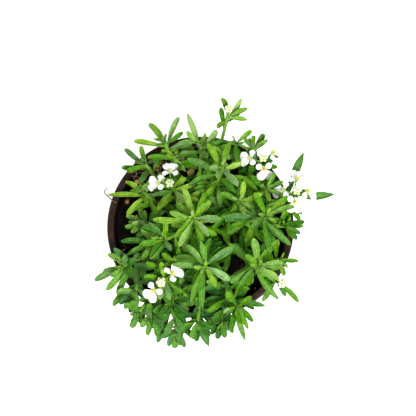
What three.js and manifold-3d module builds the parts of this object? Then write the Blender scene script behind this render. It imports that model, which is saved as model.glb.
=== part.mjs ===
// Potted candytuft: a round brown plastic pot filled with dark soil, from which leafy stems rise and
// spread into a low mound. Four stems carry heads of white four-petalled florets, two end in buds.
// Millimetres, +Z up. The origin is the middle of the pot's underside, with +X east and +Y north.
import * as THREE from "three";
import { mergeVertices } from "three/addons/utils/BufferGeometryUtils.js";
import Module from "manifold-3d";

const wasm = await Module();
wasm.setup();

// Pot
const POT_HEIGHT = 124;
const RIM_RADIUS = 75;
const RIM_BAND = 5.5;
const RIM_ROUND = 1.4;
const LIP_HEIGHT = 3.5;
const COLLAR_HEIGHT = 17;
const COLLAR_STEP = 2.4;
const COLLAR_FLARE = 0.7;
const WALL_TOP_RADIUS = 68;
const BASE_RADIUS = 52;
const BASE_ROUND = 1.5;
const WALL = 2.2;
const FLOOR = 3.5;
const POT_SIDES = 32;
const DRAIN_RADIUS = 5;
const DRAIN_RING = 34;
const DRAIN_COUNT = 6;
const DRAIN_SIDES = 8;

// Soil and what lies on it
const SEAT_GAP = 0.3;
const SIDE_GAP = 0.4;
const SOIL_EDGE_GAP = 1.4;
const SOIL_BELOW_RIM = 12;
const BANK_HEIGHT = 6.5;
const BANK_BEARING = 125;
const GRAIN = 0.7;
const SOIL_RINGS = 4;
const HOLE_SIDES = 6;
const CHIP_GAP = 0.45;
const CHIP_PLAY = 0.3;
const CHIPS = [
  { at: [-8, 47], size: [4.2, 2.8, 1.7], turn: 50 },
  { at: [-6, 64], size: [4.0, 1.9, 1.5], turn: -35 },
  { at: [-52, 37], size: [2.9, 2.2, 1.6], turn: 20 },
  { at: [-60, 21], size: [2.6, 2.0, 1.5], turn: 80 },
  { at: [62, -14], size: [3.6, 2.4, 1.6], turn: 70 },
  { at: [50, 42], size: [3.2, 1.9, 1.4], turn: 10 },
];

// Stems
const STEM_RADIUS = 1.5;
const SIDE_STEM_RADIUS = 1.3;
const TIP_RADIUS = 1.2;
const STEM_SIDES = 4;
const STEM_STATIONS = [0, 0.3, 0.6, 0.87, 1];
const HOLE_DEPTH = 10;
const FOOT_RISE = 3;
const RISE_SHARE = 0.4;
const TIP_SHARE = 0.35;
const ROOT_LEAN = 0.35;
const FORK_LEAN = 0.6;
const UPRIGHT_LEAN = 15;
const UPRIGHT_RADIUS = 20;
const LEAN_PER_MM = 0.9;
const LEAN_HEIGHT = 66;
const HEAD_LEAN = 0.5;

// Leaves: a blade widens slowly from a narrow foot to two thirds of its length and has a round tip
const LEAF_WIDE_AT = 0.7;
const LEAF_TAPER = 1.3;
const LEAF_BLUNT = 2.2;
const LEAF_FOOT = 0.18;
const LEAF_STATIONS = [0, 0.45, 0.88];
const SHORT_LEAF = 20;
const SHORT_LEAF_STATIONS = [0, 0.82];
const LEAF_KEEL = 0.55;
const LEAF_CHANNEL = 0.3;
const LEAF_SAG = 0.16;
const LEAF_BREADTH = 3.4;
const BREADTH_PER_LENGTH = 0.045;
const LEAF_ROLL = 26;

// Tufts: long leaves lie flatter than short ones, and all follow the lean of their shoot
const TUFT_START = 0.6;
const HEAD_START = 5;
const TUFT_STEP = 1.2;
const LONG_REACH = 25;
const LONG_RISE = 20;
const RISE_PER_MM = 1.6;
const MOST_DROOP = 6;
const LEAN_EFFECT = 0.75;
const RISE_PLAY = 8;
const LOWEST_RISE = -40;
const STEEPEST_RISE = 62;
const LEAST_SPREAD = 0.62;
const SHORTEST_REACH = 8;

// Lower leaves follow each other down the stem by one fixed turn
const TURN = 137.5;
const LOWER_START = 0.8;
const LOWER_STRETCH = 0.5;
const LOWER_LENGTH = 17;
const LOWER_LENGTH_PLAY = 8;
const LOWER_RISE = 12;
const LOWER_RISE_PLAY = 22;

// Florets: two broad outer petals and two small inner ones round a boss
const PETALS = [[-27, 9], [27, 9], [-118, 6.2], [118, 6.2]];
const PETAL_BREADTH = 0.76;
const PETAL_RISE = 16;
const PETAL_SAG = 0.2;
const PETAL_STATIONS = [0, 0.45, 0.85];
const PETAL_KEEL = 0.5;
const PETAL_NECK = 0.16;
const PETAL_FOOT = 0.7;
const PETAL_DEPTH = 0.8;
const FLORET_REACH = 8.5;
const FLORET_LIFT = 3.5;
const FLORET_TILT = 28;
const BOSS_RADIUS = 1.2;
const BOSS_HEIGHT = 1.7;
const STALK_RADIUS = 0.75;
const STALK_DROP = 3.6;
const STALK_BEND = 2.2;

// Bud heads: a ball with a bump for each bud
const BUD_OUT = 4.2;
const BUD_IN = 3;
const BUD_SEAT = 2.5;

// Seeds of the random draws
const TUFT_SEED = 1;
const LOWER_SEED = 501;
const CHIP_SEED = 901;

// Room that is kept round blades, stems and florets, and between a blade and the pot. Within the
// first stretch of a leaf nothing is kept clear, and up to the outer one only other plants are.
const BLADE_ROOM = 0.8;
const OWN_ROOM = 0.4;
const STEM_ROOM = 1.2;
const FLORET_ROOM = 0.9;
const POT_ROOM = 1.2;
const INNER_SHARE = 0.12;
const OUTER_SHARE = 0.34;

// The shoots. A tip stands at [east, north, above the rim]. A tuft lists its leaves by the bearing
// they point to, counted from east over north, their reach in plan and, for a broad one, how much
// broader it is. Where it says broad, all leaves of the shoot are broader. A shoot with a fork leaves
// the rooted shoot before it at that share of its length.
const SHOOTS = [
  { root: [-1, -4], tip: [-5, -10, 58], lower: 5,
    tuft: [[109, 25], [170, 17], [176, 30], [230, 19], [243, 22], [308, 18], [356, 21, 1.2], [55, 13]] },
  { fork: 0.5, tip: [-27, -20, 34], lower: 2,
    tuft: [[190, 18], [235, 18], [92, 14], [140, 16], [300, 12]] },
  { root: [2, -15], tip: [4, -45, 53], lower: 5,
    tuft: [[98, 20], [136, 19], [33, 25, 1.2], [333, 20, 1.2], [297, 16], [267, 29], [246, 26], [177, 24]] },
  { fork: 0.45, tip: [-17, -38, 29], lower: 2,
    tuft: [[95, 10], [196, 16], [150, 14], [240, 14], [215, 20]] },
  { root: [14, -13], tip: [43, -43, 43], lower: 4,
    tuft: [[98, 20, 1.2], [329, 17], [303, 27], [226, 21], [205, 22], [52, 26], [9, 18, 1.3], [150, 14]] },
  { fork: 0.45, tip: [61, -33, 18], lower: 0,
    tuft: [[2, 15], [280, 13], [225, 14]] },
  { fork: 0.62, tip: [60, -52, 27], lower: 0, buds: true,
    tuft: [[297, 11], [228, 20]] },
  { root: [16, -3], tip: [49, -6, 48], lower: 4,
    tuft: [[182, 32, 1.35], [310, 28], [276, 27], [46, 24], [22, 23], [120, 18], [230, 18]] },
  { fork: 0.5, tip: [66, -6, 21], lower: 2,
    tuft: [[17, 16], [0, 14], [330, 13], [78, 18], [290, 12], [310, 13]] },
  { root: [9, 4], tip: [30, 6, 46], lower: 4,
    tuft: [[159, 15], [83, 14], [321, 21], [232, 18], [20, 18], [285, 14]] },
  { root: [5, 12], tip: [17, 32, 48], lower: 5,
    tuft: [[76, 24], [14, 15], [301, 23, 1.2], [200, 11], [162, 28, 1.2], [211, 29], [119, 23], [258, 14]] },
  { root: [6, 24], tip: [22, 83, 34], lower: 0, buds: true,
    tuft: [[117, 13, 1.25], [50, 16], [8, 15], [330, 15], [234, 17]] },
  { fork: 0.6, tip: [29, 58, 29], lower: 1,
    tuft: [[42, 15], [205, 14], [290, 16]] },
  { root: [-2, 20], tip: [1, 55, 32], lower: 1,
    tuft: [[109, 37], [135, 16], [52, 20, 1.2], [15, 18], [335, 16], [200, 18], [285, 16]] },
  { root: [-10, 23], tip: [-28, 59, 28], lower: 2,
    tuft: [[171, 25, 1.1], [118, 24.5, 1.4], [69, 27], [347, 27, 1.35], [232, 9], [25, 16]] },
  { fork: 0.6, tip: [-19, 49, 21], lower: 1,
    tuft: [[347, 15], [200, 13], [165, 12], [45, 14], [280, 14]] },
  { root: [-17, 17], tip: [-44, 45, 18], lower: 2,
    tuft: [[131, 25], [106, 17], [188, 19, 1.1], [209, 16, 1.25], [275, 21, 1.3], [330, 14]] },
  { root: [-19, 9], tip: [-46, 21, 20], lower: 4,
    tuft: [[170, 29], [146, 16], [244, 22, 1.2], [297, 15], [351, 23], [75, 16], [30, 14]] },
  { root: [-9, 12], tip: [-23, 25, 27], lower: 3, florets: [92, 180], buds: true,
    tuft: [[140, 13], [20, 13], [305, 19, 1.2], [245, 18, 1.2]] },
  { root: [-21, 1], tip: [-48, -1, 8], lower: 3,
    tuft: [[92, 13], [151, 13], [196, 12], [238, 12], [37, 15], [60, 13], [305, 11]] },
  { root: [-18, -7], tip: [-38, -20, 15], lower: 4,
    tuft: [[173, 25], [201, 22], [120, 14], [240, 14], [60, 12], [300, 14]] },
  { root: [-22, -16], tip: [-59, -37, 14], lower: 4, broad: 1.15,
    tuft: [[141, 16], [188, 17], [203, 26], [234, 22], [257, 22], [307, 12, 1.2], [63, 10], [25, 14]] },
  { fork: 0.55, tip: [-50, -55, 9], lower: 2, broad: 1.15,
    tuft: [[208, 22], [234, 16], [270, 14], [180, 13], [330, 14], [250, 17]] },
  { root: [-10, -19], tip: [-28, -52, 33], lower: 3, florets: [232, 35], buds: true,
    tuft: [[300, 15], [165, 14], [100, 14], [265, 12]] },
  { root: [-15, -27], tip: [-47, -71, 6], lower: 4, broad: 1.2,
    tuft: [[180, 13], [212, 14], [245, 13], [150, 12], [285, 12], [325, 12], [115, 11]] },
  { fork: 0.6, tip: [-37, -76, 8], lower: 3, broad: 1.2,
    tuft: [[250, 13], [280, 14], [215, 11], [320, 12], [180, 11], [110, 12], [350, 12]] },
  { root: [-6, -30], tip: [-23, -68, 15], lower: 5, broad: 1.15,
    tuft: [[120, 12], [11, 17], [252, 27], [200, 14], [300, 22], [65, 12], [225, 22], [278, 28, 1.15],
      [330, 15]] },
  { fork: 0.62, tip: [-19, -85, 0], lower: 3, broad: 1.2,
    tuft: [[250, 13], [286, 14], [320, 12], [205, 12], [268, 15, 1.15]] },
  { root: [2, -33], tip: [-2, -79, 8], lower: 5, broad: 1.25,
    tuft: [[249, 13], [290, 19, 1.3], [335, 13], [200, 13], [265, 14], [310, 15, 1.15], [225, 14]] },
  { root: [10, -26], tip: [28, -69, 21], lower: 3,
    tuft: [[2, 21], [282, 25], [300, 18], [31, 12], [204, 12], [120, 16], [255, 18], [320, 16]] },
  { fork: 0.6, tip: [17, -79, 10], lower: 3, broad: 1.25,
    tuft: [[252, 13], [308, 13], [5, 11], [222, 13], [280, 12], [340, 13], [195, 12]] },
  { root: [17, 18], tip: [48, 45, 28], lower: 4, florets: [182, 278, 25], buds: true,
    tuft: [[140, 14], [330, 14], [235, 13]] },
  { fork: 0.6, tip: [42, 57, 23], lower: 1,
    tuft: [[55, 16, 1.2], [88, 10], [135, 10]] },
  { root: [19, 8], tip: [51, 20, 34], lower: 4,
    tuft: [[150, 15], [62, 15], [20, 15], [330, 14], [262, 13], [205, 15]] },
  { root: [26, 3], tip: [73, 19, 27], lower: 2, florets: [178, 267, 354, 81], buds: true,
    tuft: [[74, 38, 1.35], [1, 33, 1.35], [225, 14], [252, 18]] },
];

// Shapes

const at = (x, y, z) => new THREE.Vector3(x, y, z);
const rad = THREE.MathUtils.degToRad;
const UP = at(0, 0, 1);

function bearingOf(degrees) {
  return at(Math.cos(rad(degrees)), Math.sin(rad(degrees)), 0);
}

function degreesOf(way) {
  return THREE.MathUtils.radToDeg(Math.atan2(way.y, way.x));
}

// Random draws that are the same on every run.
function drawsFrom(seed) {
  let state = seed * 7919 + 101;
  const draw = () => {
    state = (state * 16807) % 2147483647;
    return state / 2147483647;
  };
  draw();
  return draw;
}

// A closed manifold solid from a geometry whose touching vertices are merged.
function solidOf(geometry) {
  const bare = new THREE.BufferGeometry();
  bare.setAttribute("position", geometry.getAttribute("position"));
  bare.setIndex(geometry.index);
  const merged = mergeVertices(bare, 1e-4);
  const corners = Array.from(merged.index.array);
  const kept = [];
  for (let i = 0; i < corners.length; i += 3) {
    const [a, b, c] = corners.slice(i, i + 3);
    if (a !== b && b !== c && c !== a) kept.push(a, b, c);
  }
  return new wasm.Manifold(new wasm.Mesh({
    numProp: 3,
    vertProperties: merged.getAttribute("position").array,
    triVerts: new Uint32Array(kept),
  }));
}

function geometryOf(solid) {
  const mesh = solid.getMesh();
  const geometry = new THREE.BufferGeometry();
  geometry.setAttribute("position", new THREE.BufferAttribute(mesh.vertProperties, 3));
  geometry.setIndex(new THREE.BufferAttribute(mesh.triVerts, 1));
  geometry.computeVertexNormals();
  return geometry;
}

// The solids joined in one body, with any hollow between them filled.
function join(solids) {
  const bodies = solids.reduce((whole, solid) => whole.add(solid)).decompose();
  return bodies.reduce((best, body) => (body.volume() > best.volume() ? body : best));
}

// A closed skin over rings of equally many points. A ring of one point is a pointed end.
function skin(rings) {
  const points = [];
  const faces = [];
  const starts = [];
  for (const ring of rings) {
    starts.push(points.length / 3);
    for (const p of ring) points.push(p.x, p.y, p.z);
  }
  for (let k = 0; k + 1 < rings.length; k++) {
    const count = Math.max(rings[k].length, rings[k + 1].length);
    for (let i = 0; i < count; i++) {
      const j = (i + 1) % count;
      const a = starts[k] + i;
      const b = starts[k] + j;
      const c = starts[k + 1] + i;
      const d = starts[k + 1] + j;
      if (rings[k + 1].length === 1) faces.push(a, b, starts[k + 1]);
      else if (rings[k].length === 1) faces.push(starts[k], d, c);
      else faces.push(a, b, d, a, d, c);
    }
  }
  const first = rings[0].length;
  for (let i = 1; i + 1 < first; i++) faces.push(0, i + 1, i);
  const last = starts[rings.length - 1];
  for (let i = 1; i + 1 < rings[rings.length - 1].length; i++) faces.push(last, last + i, last + i + 1);
  const geometry = new THREE.BufferGeometry();
  geometry.setAttribute("position", new THREE.Float32BufferAttribute(points, 3));
  geometry.setIndex(faces);
  return solidOf(geometry);
}

// A many-sided rod through points, with a radius at each.
function rod(points, radii, sides) {
  let side = null;
  const rings = points.map((p, k) => {
    const before = points[Math.max(k - 1, 0)];
    const after = points[Math.min(k + 1, points.length - 1)];
    const way = after.clone().sub(before).normalize();
    side = side ?? at(way.z, way.x, way.y);
    side = side.clone().addScaledVector(way, -side.dot(way)).normalize();
    const other = way.clone().cross(side);
    return Array.from({ length: sides }, (_, i) => {
      const angle = (2 * Math.PI * i) / sides;
      return p.clone()
        .addScaledVector(side, radii[k] * Math.cos(angle))
        .addScaledVector(other, radii[k] * Math.sin(angle));
    });
  });
  return skin(rings);
}

// Half the breadth of a leaf, as a share of its greatest, at a share of its length.
function leafOutline(s) {
  if (s < LEAF_WIDE_AT) {
    const opening = Math.sin((Math.PI / 2) * (s / LEAF_WIDE_AT)) ** LEAF_TAPER;
    return LEAF_FOOT + (1 - LEAF_FOOT) * opening;
  }
  return Math.sqrt(1 - ((s - LEAF_WIDE_AT) / (1 - LEAF_WIDE_AT)) ** LEAF_BLUNT);
}

function petalOutline(s) {
  return Math.min(1, PETAL_NECK + 1.5 * s) * Math.sqrt(1 - s ** 5);
}

// The middle line of a blade: it leaves its foot at an angle and bends down along its length.
function bladeMiddle(blade, s) {
  const rise = rad(blade.rise);
  return blade.foot.clone()
    .addScaledVector(blade.out, blade.length * Math.cos(rise) * s)
    .addScaledVector(blade.up, blade.length * (Math.sin(rise) * s - blade.sag * s * s));
}

// A blade with a hollowed top and a keel: two edges and a keel at each station, then the tip.
function bladeSolid(blade, stations, outline, keel) {
  const side = blade.up.clone().cross(blade.out).normalize();
  const rings = stations.map((s) => {
    const ahead = bladeMiddle(blade, s + 0.01).sub(bladeMiddle(blade, s)).normalize();
    const normal = ahead.clone().cross(side);
    const half = (blade.width / 2) * outline(s);
    const middle = bladeMiddle(blade, s);
    const edge = middle.clone().addScaledVector(normal, LEAF_CHANNEL * half);
    return [
      edge.clone().addScaledVector(side, -half),
      middle.clone().addScaledVector(normal, -keel),
      edge.clone().addScaledVector(side, half),
    ];
  });
  return skin([...rings, [bladeMiddle(blade, 1)]]);
}

// Soil

const SOIL_RADIUS = RIM_RADIUS - RIM_BAND - SOIL_EDGE_GAP;

function soilTop(x, y) {
  const reach = Math.hypot(x, y) / SOIL_RADIUS;
  const swing = Math.cos(Math.atan2(y, x) - rad(BANK_BEARING));
  const bank = BANK_HEIGHT * Math.max(0, swing) ** 2 * reach ** 3;
  const grain = Math.sin(x / 4.1 + 1) * Math.cos(y / 3.7) + 0.5 * Math.sin((x + y) / 2.9);
  return POT_HEIGHT - SOIL_BELOW_RIM + bank + GRAIN * grain * (1 - reach ** 6);
}

// Growth: the course of each shoot and the place of each blade

const taken = [];
const BLOOM = -1;
const ACROSS = [-1, -0.5, 0, 0.5, 1];
const ROUND_END = 0.97;

function take(points, room, node, isOuter) {
  for (const p of points) taken.push({ p, room, node, isOuter });
}

// Points over a blade between two shares of its length, so close that nothing slips between them.
function bladePoints(blade, outline, from, to) {
  const side = blade.up.clone().cross(blade.out).normalize();
  const steps = Math.ceil(blade.length);
  const points = [];
  for (let k = Math.ceil(from * steps); k <= to * steps; k++) {
    const s = k / steps;
    const half = (blade.width / 2) * outline(Math.min(s, ROUND_END));
    for (const share of ACROSS) {
      points.push(bladeMiddle(blade, s).addScaledVector(side, share * half));
    }
  }
  return points;
}

function clearOfPot(p) {
  const reach = Math.hypot(p.x, p.y);
  if (reach > RIM_RADIUS + POT_ROOM) return true;
  if (p.z > POT_HEIGHT + POT_ROOM) return true;
  return reach < SOIL_RADIUS - POT_ROOM && p.z > soilTop(p.x, p.y) + POT_ROOM;
}

function keepsClear(points, others) {
  const box = new THREE.Box3().setFromPoints(points).expandByScalar(BUD_OUT + BLADE_ROOM);
  return others.filter((t) => box.containsPoint(t.p)).every((t) => {
    const room = t.room + BLADE_ROOM;
    return points.every((p) => p.distanceToSquared(t.p) >= room * room);
  });
}

// Whether a leaf keeps clear of the pot and of all that is taken. Leaves of one stem may meet where
// they spring from it.
function isFree(leaf, node) {
  const inner = bladePoints(leaf, leafOutline, INNER_SHARE, OUTER_SHARE);
  const outer = bladePoints(leaf, leafOutline, OUTER_SHARE, 1);
  const all = [...inner, ...outer];
  return all.every(clearOfPot)
    && keepsClear(all, taken.filter((t) => t.node !== node))
    && keepsClear(outer, taken.filter((t) => t.node === node && t.isOuter));
}

// Ways in which a blade may give way, in order: [change of rise, change of bearing, share of length].
const YIELDS = [
  [0, 0, 1], [9, 0, 1], [-9, 0, 1], [0, 9, 1], [0, -9, 1], [18, 0, 1], [-18, 0, 1],
  [9, 14, 1], [9, -14, 1], [-9, 14, 1], [-9, -14, 1], [0, 0, 0.82], [14, 0, 0.82], [-14, 0, 0.82],
  [0, 16, 0.82], [0, -16, 0.82], [27, 0, 0.82], [-27, 0, 0.82], [0, 0, 0.66], [20, 0, 0.66],
  [-20, 0, 0.66], [0, 22, 0.66], [0, -22, 0.66], [36, 0, 0.66],
];

function placeLeaf(node, wanted) {
  for (const [rise, turn, share] of YIELDS) {
    const leaf = {
      foot: wanted.foot,
      out: bearingOf(wanted.bearing + turn),
      up: UP.clone(),
      rise: wanted.rise + rise,
      sag: LEAF_SAG,
      length: wanted.length * share,
      width: wanted.width * (0.3 + 0.7 * share),
    };
    leaf.up.applyAxisAngle(leaf.out, rad(wanted.roll));
    if (!isFree(leaf, node)) continue;
    take(bladePoints(leaf, leafOutline, INNER_SHARE, OUTER_SHARE), BLADE_ROOM, node, false);
    take(bladePoints(leaf, leafOutline, OUTER_SHARE, 1), OWN_ROOM, node, true);
    return leaf;
  }
  return null;
}

function wayAt(course, t) {
  const ahead = course.getPoint(Math.min(t + 0.01, 1));
  return ahead.sub(course.getPoint(Math.max(t - 0.01, 0))).normalize();
}

// The course of a shoot: it leaves its root nearly upright, or its parent along it, and its tip
// leans out the further it stands from the middle and the lower it hangs. Heads stay more upright.
function courseOf(shoot, parent) {
  const [x, y, above] = shoot.tip;
  const tip = at(x, y, POT_HEIGHT + above);
  const start = parent
    ? parent.course.getPoint(shoot.fork)
    : at(shoot.root[0], shoot.root[1], soilTop(...shoot.root) + FOOT_RISE);
  const out = at(x - start.x, y - start.y, 0).normalize();
  const outward = LEAN_PER_MM * Math.max(0, Math.hypot(x, y) - UPRIGHT_RADIUS) * (1 - above / LEAN_HEIGHT);
  const lean = (UPRIGHT_LEAN + outward) * (shoot.buds ? HEAD_LEAN : 1);
  const startWay = parent
    ? wayAt(parent.course, shoot.fork).addScaledVector(out, FORK_LEAN).normalize()
    : out.clone().multiplyScalar(ROOT_LEAN).add(UP).normalize();
  const tipWay = out.clone().multiplyScalar(Math.sin(rad(lean))).addScaledVector(UP, Math.cos(rad(lean)));
  const span = start.distanceTo(tip);
  const rising = start.clone().addScaledVector(startWay, RISE_SHARE * span);
  const closing = tip.clone().addScaledVector(tipWay, -TIP_SHARE * span);
  return { course: new THREE.CubicBezierCurve3(start, rising, closing, tip), span, lean, out, tipWay };
}

// A stem. One that stands in the soil starts upright in its hole.
function stemSolid(shoot) {
  const base = shoot.fork ? SIDE_STEM_RADIUS : STEM_RADIUS;
  const foot = shoot.fork ? [] : [SEAT_GAP - HOLE_DEPTH - FOOT_RISE, -0.5];
  const points = foot.map((z) => shoot.course.getPoint(0).add(at(0, 0, z)));
  const radii = foot.map(() => base);
  for (const t of STEM_STATIONS) {
    points.push(shoot.course.getPoint(t));
    radii.push(base + (TIP_RADIUS - base) * t);
  }
  return rod(points, radii, STEM_SIDES);
}

// A floret faces up and out from the middle of its head.
function floretOf(shoot, bearing) {
  const out = bearingOf(bearing);
  const tip = shoot.course.getPoint(1);
  const facing = out.clone().multiplyScalar(Math.sin(rad(FLORET_TILT)))
    .addScaledVector(UP, Math.cos(rad(FLORET_TILT)));
  const foot = tip.clone().addScaledVector(out, FLORET_REACH).addScaledVector(UP, FLORET_LIFT);
  return { foot, facing, bearing };
}

// The four petals of a floret, the broad pair on its outer side.
function petalsOf(floret) {
  const level = bearingOf(floret.bearing);
  const outward = level.addScaledVector(floret.facing, -level.dot(floret.facing)).normalize();
  return PETALS.map(([turn, length]) => {
    const out = outward.clone().applyAxisAngle(floret.facing, rad(turn));
    const foot = floret.foot.clone()
      .addScaledVector(floret.facing, BOSS_HEIGHT - PETAL_DEPTH)
      .addScaledVector(out, PETAL_FOOT);
    return {
      foot, out, up: floret.facing, rise: PETAL_RISE, sag: PETAL_SAG, length, width: PETAL_BREADTH * length,
    };
  });
}

function takeHead(shoot) {
  const tip = shoot.course.getPoint(1);
  for (const bloom of shoot.blooms) {
    for (const petal of petalsOf(bloom)) {
      take(bladePoints(petal, petalOutline, 0, 1), FLORET_ROOM, BLOOM, true);
    }
    const steps = Math.ceil(tip.distanceTo(bloom.foot));
    for (let k = 0; k <= steps; k++) {
      take([tip.clone().lerp(bloom.foot, k / steps)], FLORET_ROOM, shoot.node, false);
    }
  }
  if (shoot.buds) take([tip.clone().addScaledVector(shoot.tipWay, BUD_SEAT)], BUD_OUT, BLOOM, true);
}

function growShoots() {
  let parent = null;
  let node = -1;
  for (const shoot of SHOOTS) {
    if (shoot.root) node += 1;
    Object.assign(shoot, courseOf(shoot, shoot.root ? null : parent), { node, leaves: [] });
    if (shoot.root) parent = shoot;
    const steps = Math.ceil(shoot.span);
    for (let k = 0; k <= steps; k++) take([shoot.course.getPoint(k / steps)], STEM_ROOM, node, false);
    shoot.blooms = (shoot.florets ?? []).map((bearing) => floretOf(shoot, bearing));
    takeHead(shoot);
  }
}

function addLeaf(shoot, along, bearing, rise, length, breadth, roll) {
  const leaf = placeLeaf(shoot.node, {
    foot: shoot.course.getPoint(along), bearing, rise, length, roll,
    width: (LEAF_BREADTH + BREADTH_PER_LENGTH * length) * breadth * (shoot.broad ?? 1),
  });
  if (leaf) shoot.leaves.push(leaf);
}

// The tufts come first, the youngest and shortest leaf nearest the tip. Seen from above, each leaf
// ends at its bearing and reach from the tip.
function growTufts() {
  SHOOTS.forEach((shoot, number) => {
    const draw = drawsFrom(number + TUFT_SEED);
    const outBearing = degreesOf(shoot.out);
    const byReach = [...shoot.tuft].sort((a, b) => a[1] - b[1]);
    byReach.forEach(([bearing, reach, breadth = 1], k) => {
      const below = (shoot.buds ? HEAD_START : TUFT_START) + k * TUFT_STEP;
      const along = 1 - below / shoot.span;
      const aim = shoot.course.getPoint(1).addScaledVector(bearingOf(bearing), reach)
        .sub(shoot.course.getPoint(along)).setZ(0);
      const nod = LEAN_EFFECT * shoot.lean * Math.cos(rad(bearing - outBearing));
      const play = RISE_PLAY * (draw() - 0.5);
      const lift = Math.max(RISE_PER_MM * (LONG_REACH - reach), -MOST_DROOP);
      const free = LONG_RISE + lift - nod + play;
      const rise = Math.min(Math.max(free, LOWEST_RISE), STEEPEST_RISE);
      const length = Math.max(aim.length(), SHORTEST_REACH) / Math.max(Math.cos(rad(rise)), LEAST_SPREAD);
      const roll = LEAF_ROLL * (draw() - 0.5);
      addLeaf(shoot, along, degreesOf(aim), rise, length, breadth, roll);
    });
  });
}

function growLowerLeaves() {
  SHOOTS.forEach((shoot, number) => {
    const draw = drawsFrom(number + LOWER_SEED);
    const first = 360 * draw();
    for (let k = 0; k < shoot.lower; k++) {
      const along = LOWER_START - LOWER_STRETCH * (k / shoot.lower);
      const length = LOWER_LENGTH + LOWER_LENGTH_PLAY * draw();
      const rise = LOWER_RISE + LOWER_RISE_PLAY * draw();
      const roll = LEAF_ROLL * (draw() - 0.5);
      addLeaf(shoot, along, first + TURN * k, rise, length, 1, roll);
    }
  });
}

// Materials

const material = (color, roughness) => new THREE.MeshStandardMaterial({ color, roughness, metalness: 0 });
const potPlastic = material(0x46342c, 0.55);
const darkSoil = material(0x0e0a07, 0.95);
const barkChip = material(0xb98a5a, 0.85);
const foliage = material(0x6fa02c, 0.5);
const petalWhite = material(0xfbfbf7, 0.6);
const budCream = material(0xe6efc4, 0.6);

const plant = new THREE.Group();

function addPart(name, solid, look) {
  const mesh = new THREE.Mesh(geometryOf(solid), look);
  mesh.name = name;
  plant.add(mesh);
}

// Pieces

function turned(profile) {
  const points = profile.map(([r, z]) => new THREE.Vector2(r, z));
  return new THREE.LatheGeometry(points, POT_SIDES).rotateX(Math.PI / 2);
}

function potSolid() {
  const collar = POT_HEIGHT - COLLAR_HEIGHT;
  const lip = POT_HEIGHT - LIP_HEIGHT;
  const inner = RIM_RADIUS - RIM_BAND;
  const shell = solidOf(turned([
    [0, 0], [BASE_RADIUS - BASE_ROUND, 0], [BASE_RADIUS, BASE_ROUND],
    [WALL_TOP_RADIUS, collar], [WALL_TOP_RADIUS + COLLAR_STEP, collar + 0.8],
    [RIM_RADIUS - COLLAR_FLARE, lip], [RIM_RADIUS, lip + 0.8],
    [RIM_RADIUS, POT_HEIGHT - RIM_ROUND], [RIM_RADIUS - 0.4 * RIM_ROUND, POT_HEIGHT - 0.3 * RIM_ROUND],
    [RIM_RADIUS - RIM_ROUND, POT_HEIGHT], [inner + 0.6, POT_HEIGHT], [inner, POT_HEIGHT - 0.6],
    [inner - 1, collar + 3], [WALL_TOP_RADIUS - WALL, collar - 1],
    [BASE_RADIUS - WALL, FLOOR], [0, FLOOR],
  ]));
  const drain = solidOf(
    new THREE.CylinderGeometry(DRAIN_RADIUS, DRAIN_RADIUS, 3 * FLOOR, DRAIN_SIDES).rotateX(Math.PI / 2));
  let pot = shell;
  for (let k = 0; k < DRAIN_COUNT; k++) {
    const [x, y] = bearingOf((360 * k) / DRAIN_COUNT).multiplyScalar(DRAIN_RING).toArray();
    pot = pot.subtract(drain.translate([x, y, 0]));
  }
  return pot;
}

function soilSolid() {
  const collar = POT_HEIGHT - COLLAR_HEIGHT;
  const top = POT_HEIGHT - SOIL_BELOW_RIM;
  const profile = [
    [0, FLOOR], [BASE_RADIUS - WALL - SIDE_GAP, FLOOR],
    [WALL_TOP_RADIUS - WALL - SIDE_GAP, collar - 1], [SOIL_RADIUS, collar + 3],
  ];
  for (let k = SOIL_RINGS; k >= 0; k--) profile.push([(SOIL_RADIUS * k) / SOIL_RINGS, top]);
  const geometry = turned(profile);
  const place = geometry.getAttribute("position");
  for (let i = 0; i < place.count; i++) {
    if (place.getZ(i) > top - 0.01) place.setZ(i, soilTop(place.getX(i), place.getY(i)));
  }
  const bore = (STEM_RADIUS + SIDE_GAP) / Math.cos(Math.PI / HOLE_SIDES);
  const hole = solidOf(
    new THREE.CylinderGeometry(bore, bore, 2 * HOLE_DEPTH, HOLE_SIDES).rotateX(Math.PI / 2));
  return SHOOTS.filter((shoot) => shoot.root).reduce((soil, { root: [x, y] }) =>
    soil.subtract(hole.translate([x, y, soilTop(x, y)])), solidOf(geometry));
}

// A bark chip is a flattened, knocked-about stone of many faces, set down on the soil.
function chipSolid(chip, number) {
  const draw = drawsFrom(number + CHIP_SEED);
  const bare = new THREE.BufferGeometry();
  bare.setAttribute("position", new THREE.IcosahedronGeometry(1, 0).getAttribute("position"));
  const merged = mergeVertices(bare);
  const place = merged.getAttribute("position");
  const [cx, cy] = chip.at;
  let seat = 0;
  for (let i = 0; i < place.count; i++) {
    const p = at(0, 0, 0).fromBufferAttribute(place, i)
      .multiply(at(...chip.size)).multiplyScalar(1 + CHIP_PLAY * (draw() - 0.5));
    p.applyAxisAngle(UP, rad(chip.turn)).add(at(cx, cy, 0));
    seat = Math.max(seat, soilTop(p.x, p.y) - p.z);
    place.setXYZ(i, p.x, p.y, p.z);
  }
  merged.translate(0, 0, seat + CHIP_GAP);
  return solidOf(merged);
}

function stalkSolid(shoot, bloom) {
  const end = bloom.foot.clone().addScaledVector(bloom.facing, -SEAT_GAP);
  const bend = end.clone().addScaledVector(bloom.facing, -STALK_BEND);
  const start = shoot.course.getPoint(1).addScaledVector(shoot.tipWay, -STALK_DROP);
  return rod([start, bend, end], [STALK_RADIUS, STALK_RADIUS * 0.8, STALK_RADIUS * 1.3], 4);
}

function leafSolid(leaf) {
  const stations = leaf.length < SHORT_LEAF ? SHORT_LEAF_STATIONS : LEAF_STATIONS;
  return bladeSolid(leaf, stations, leafOutline, LEAF_KEEL);
}

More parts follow.
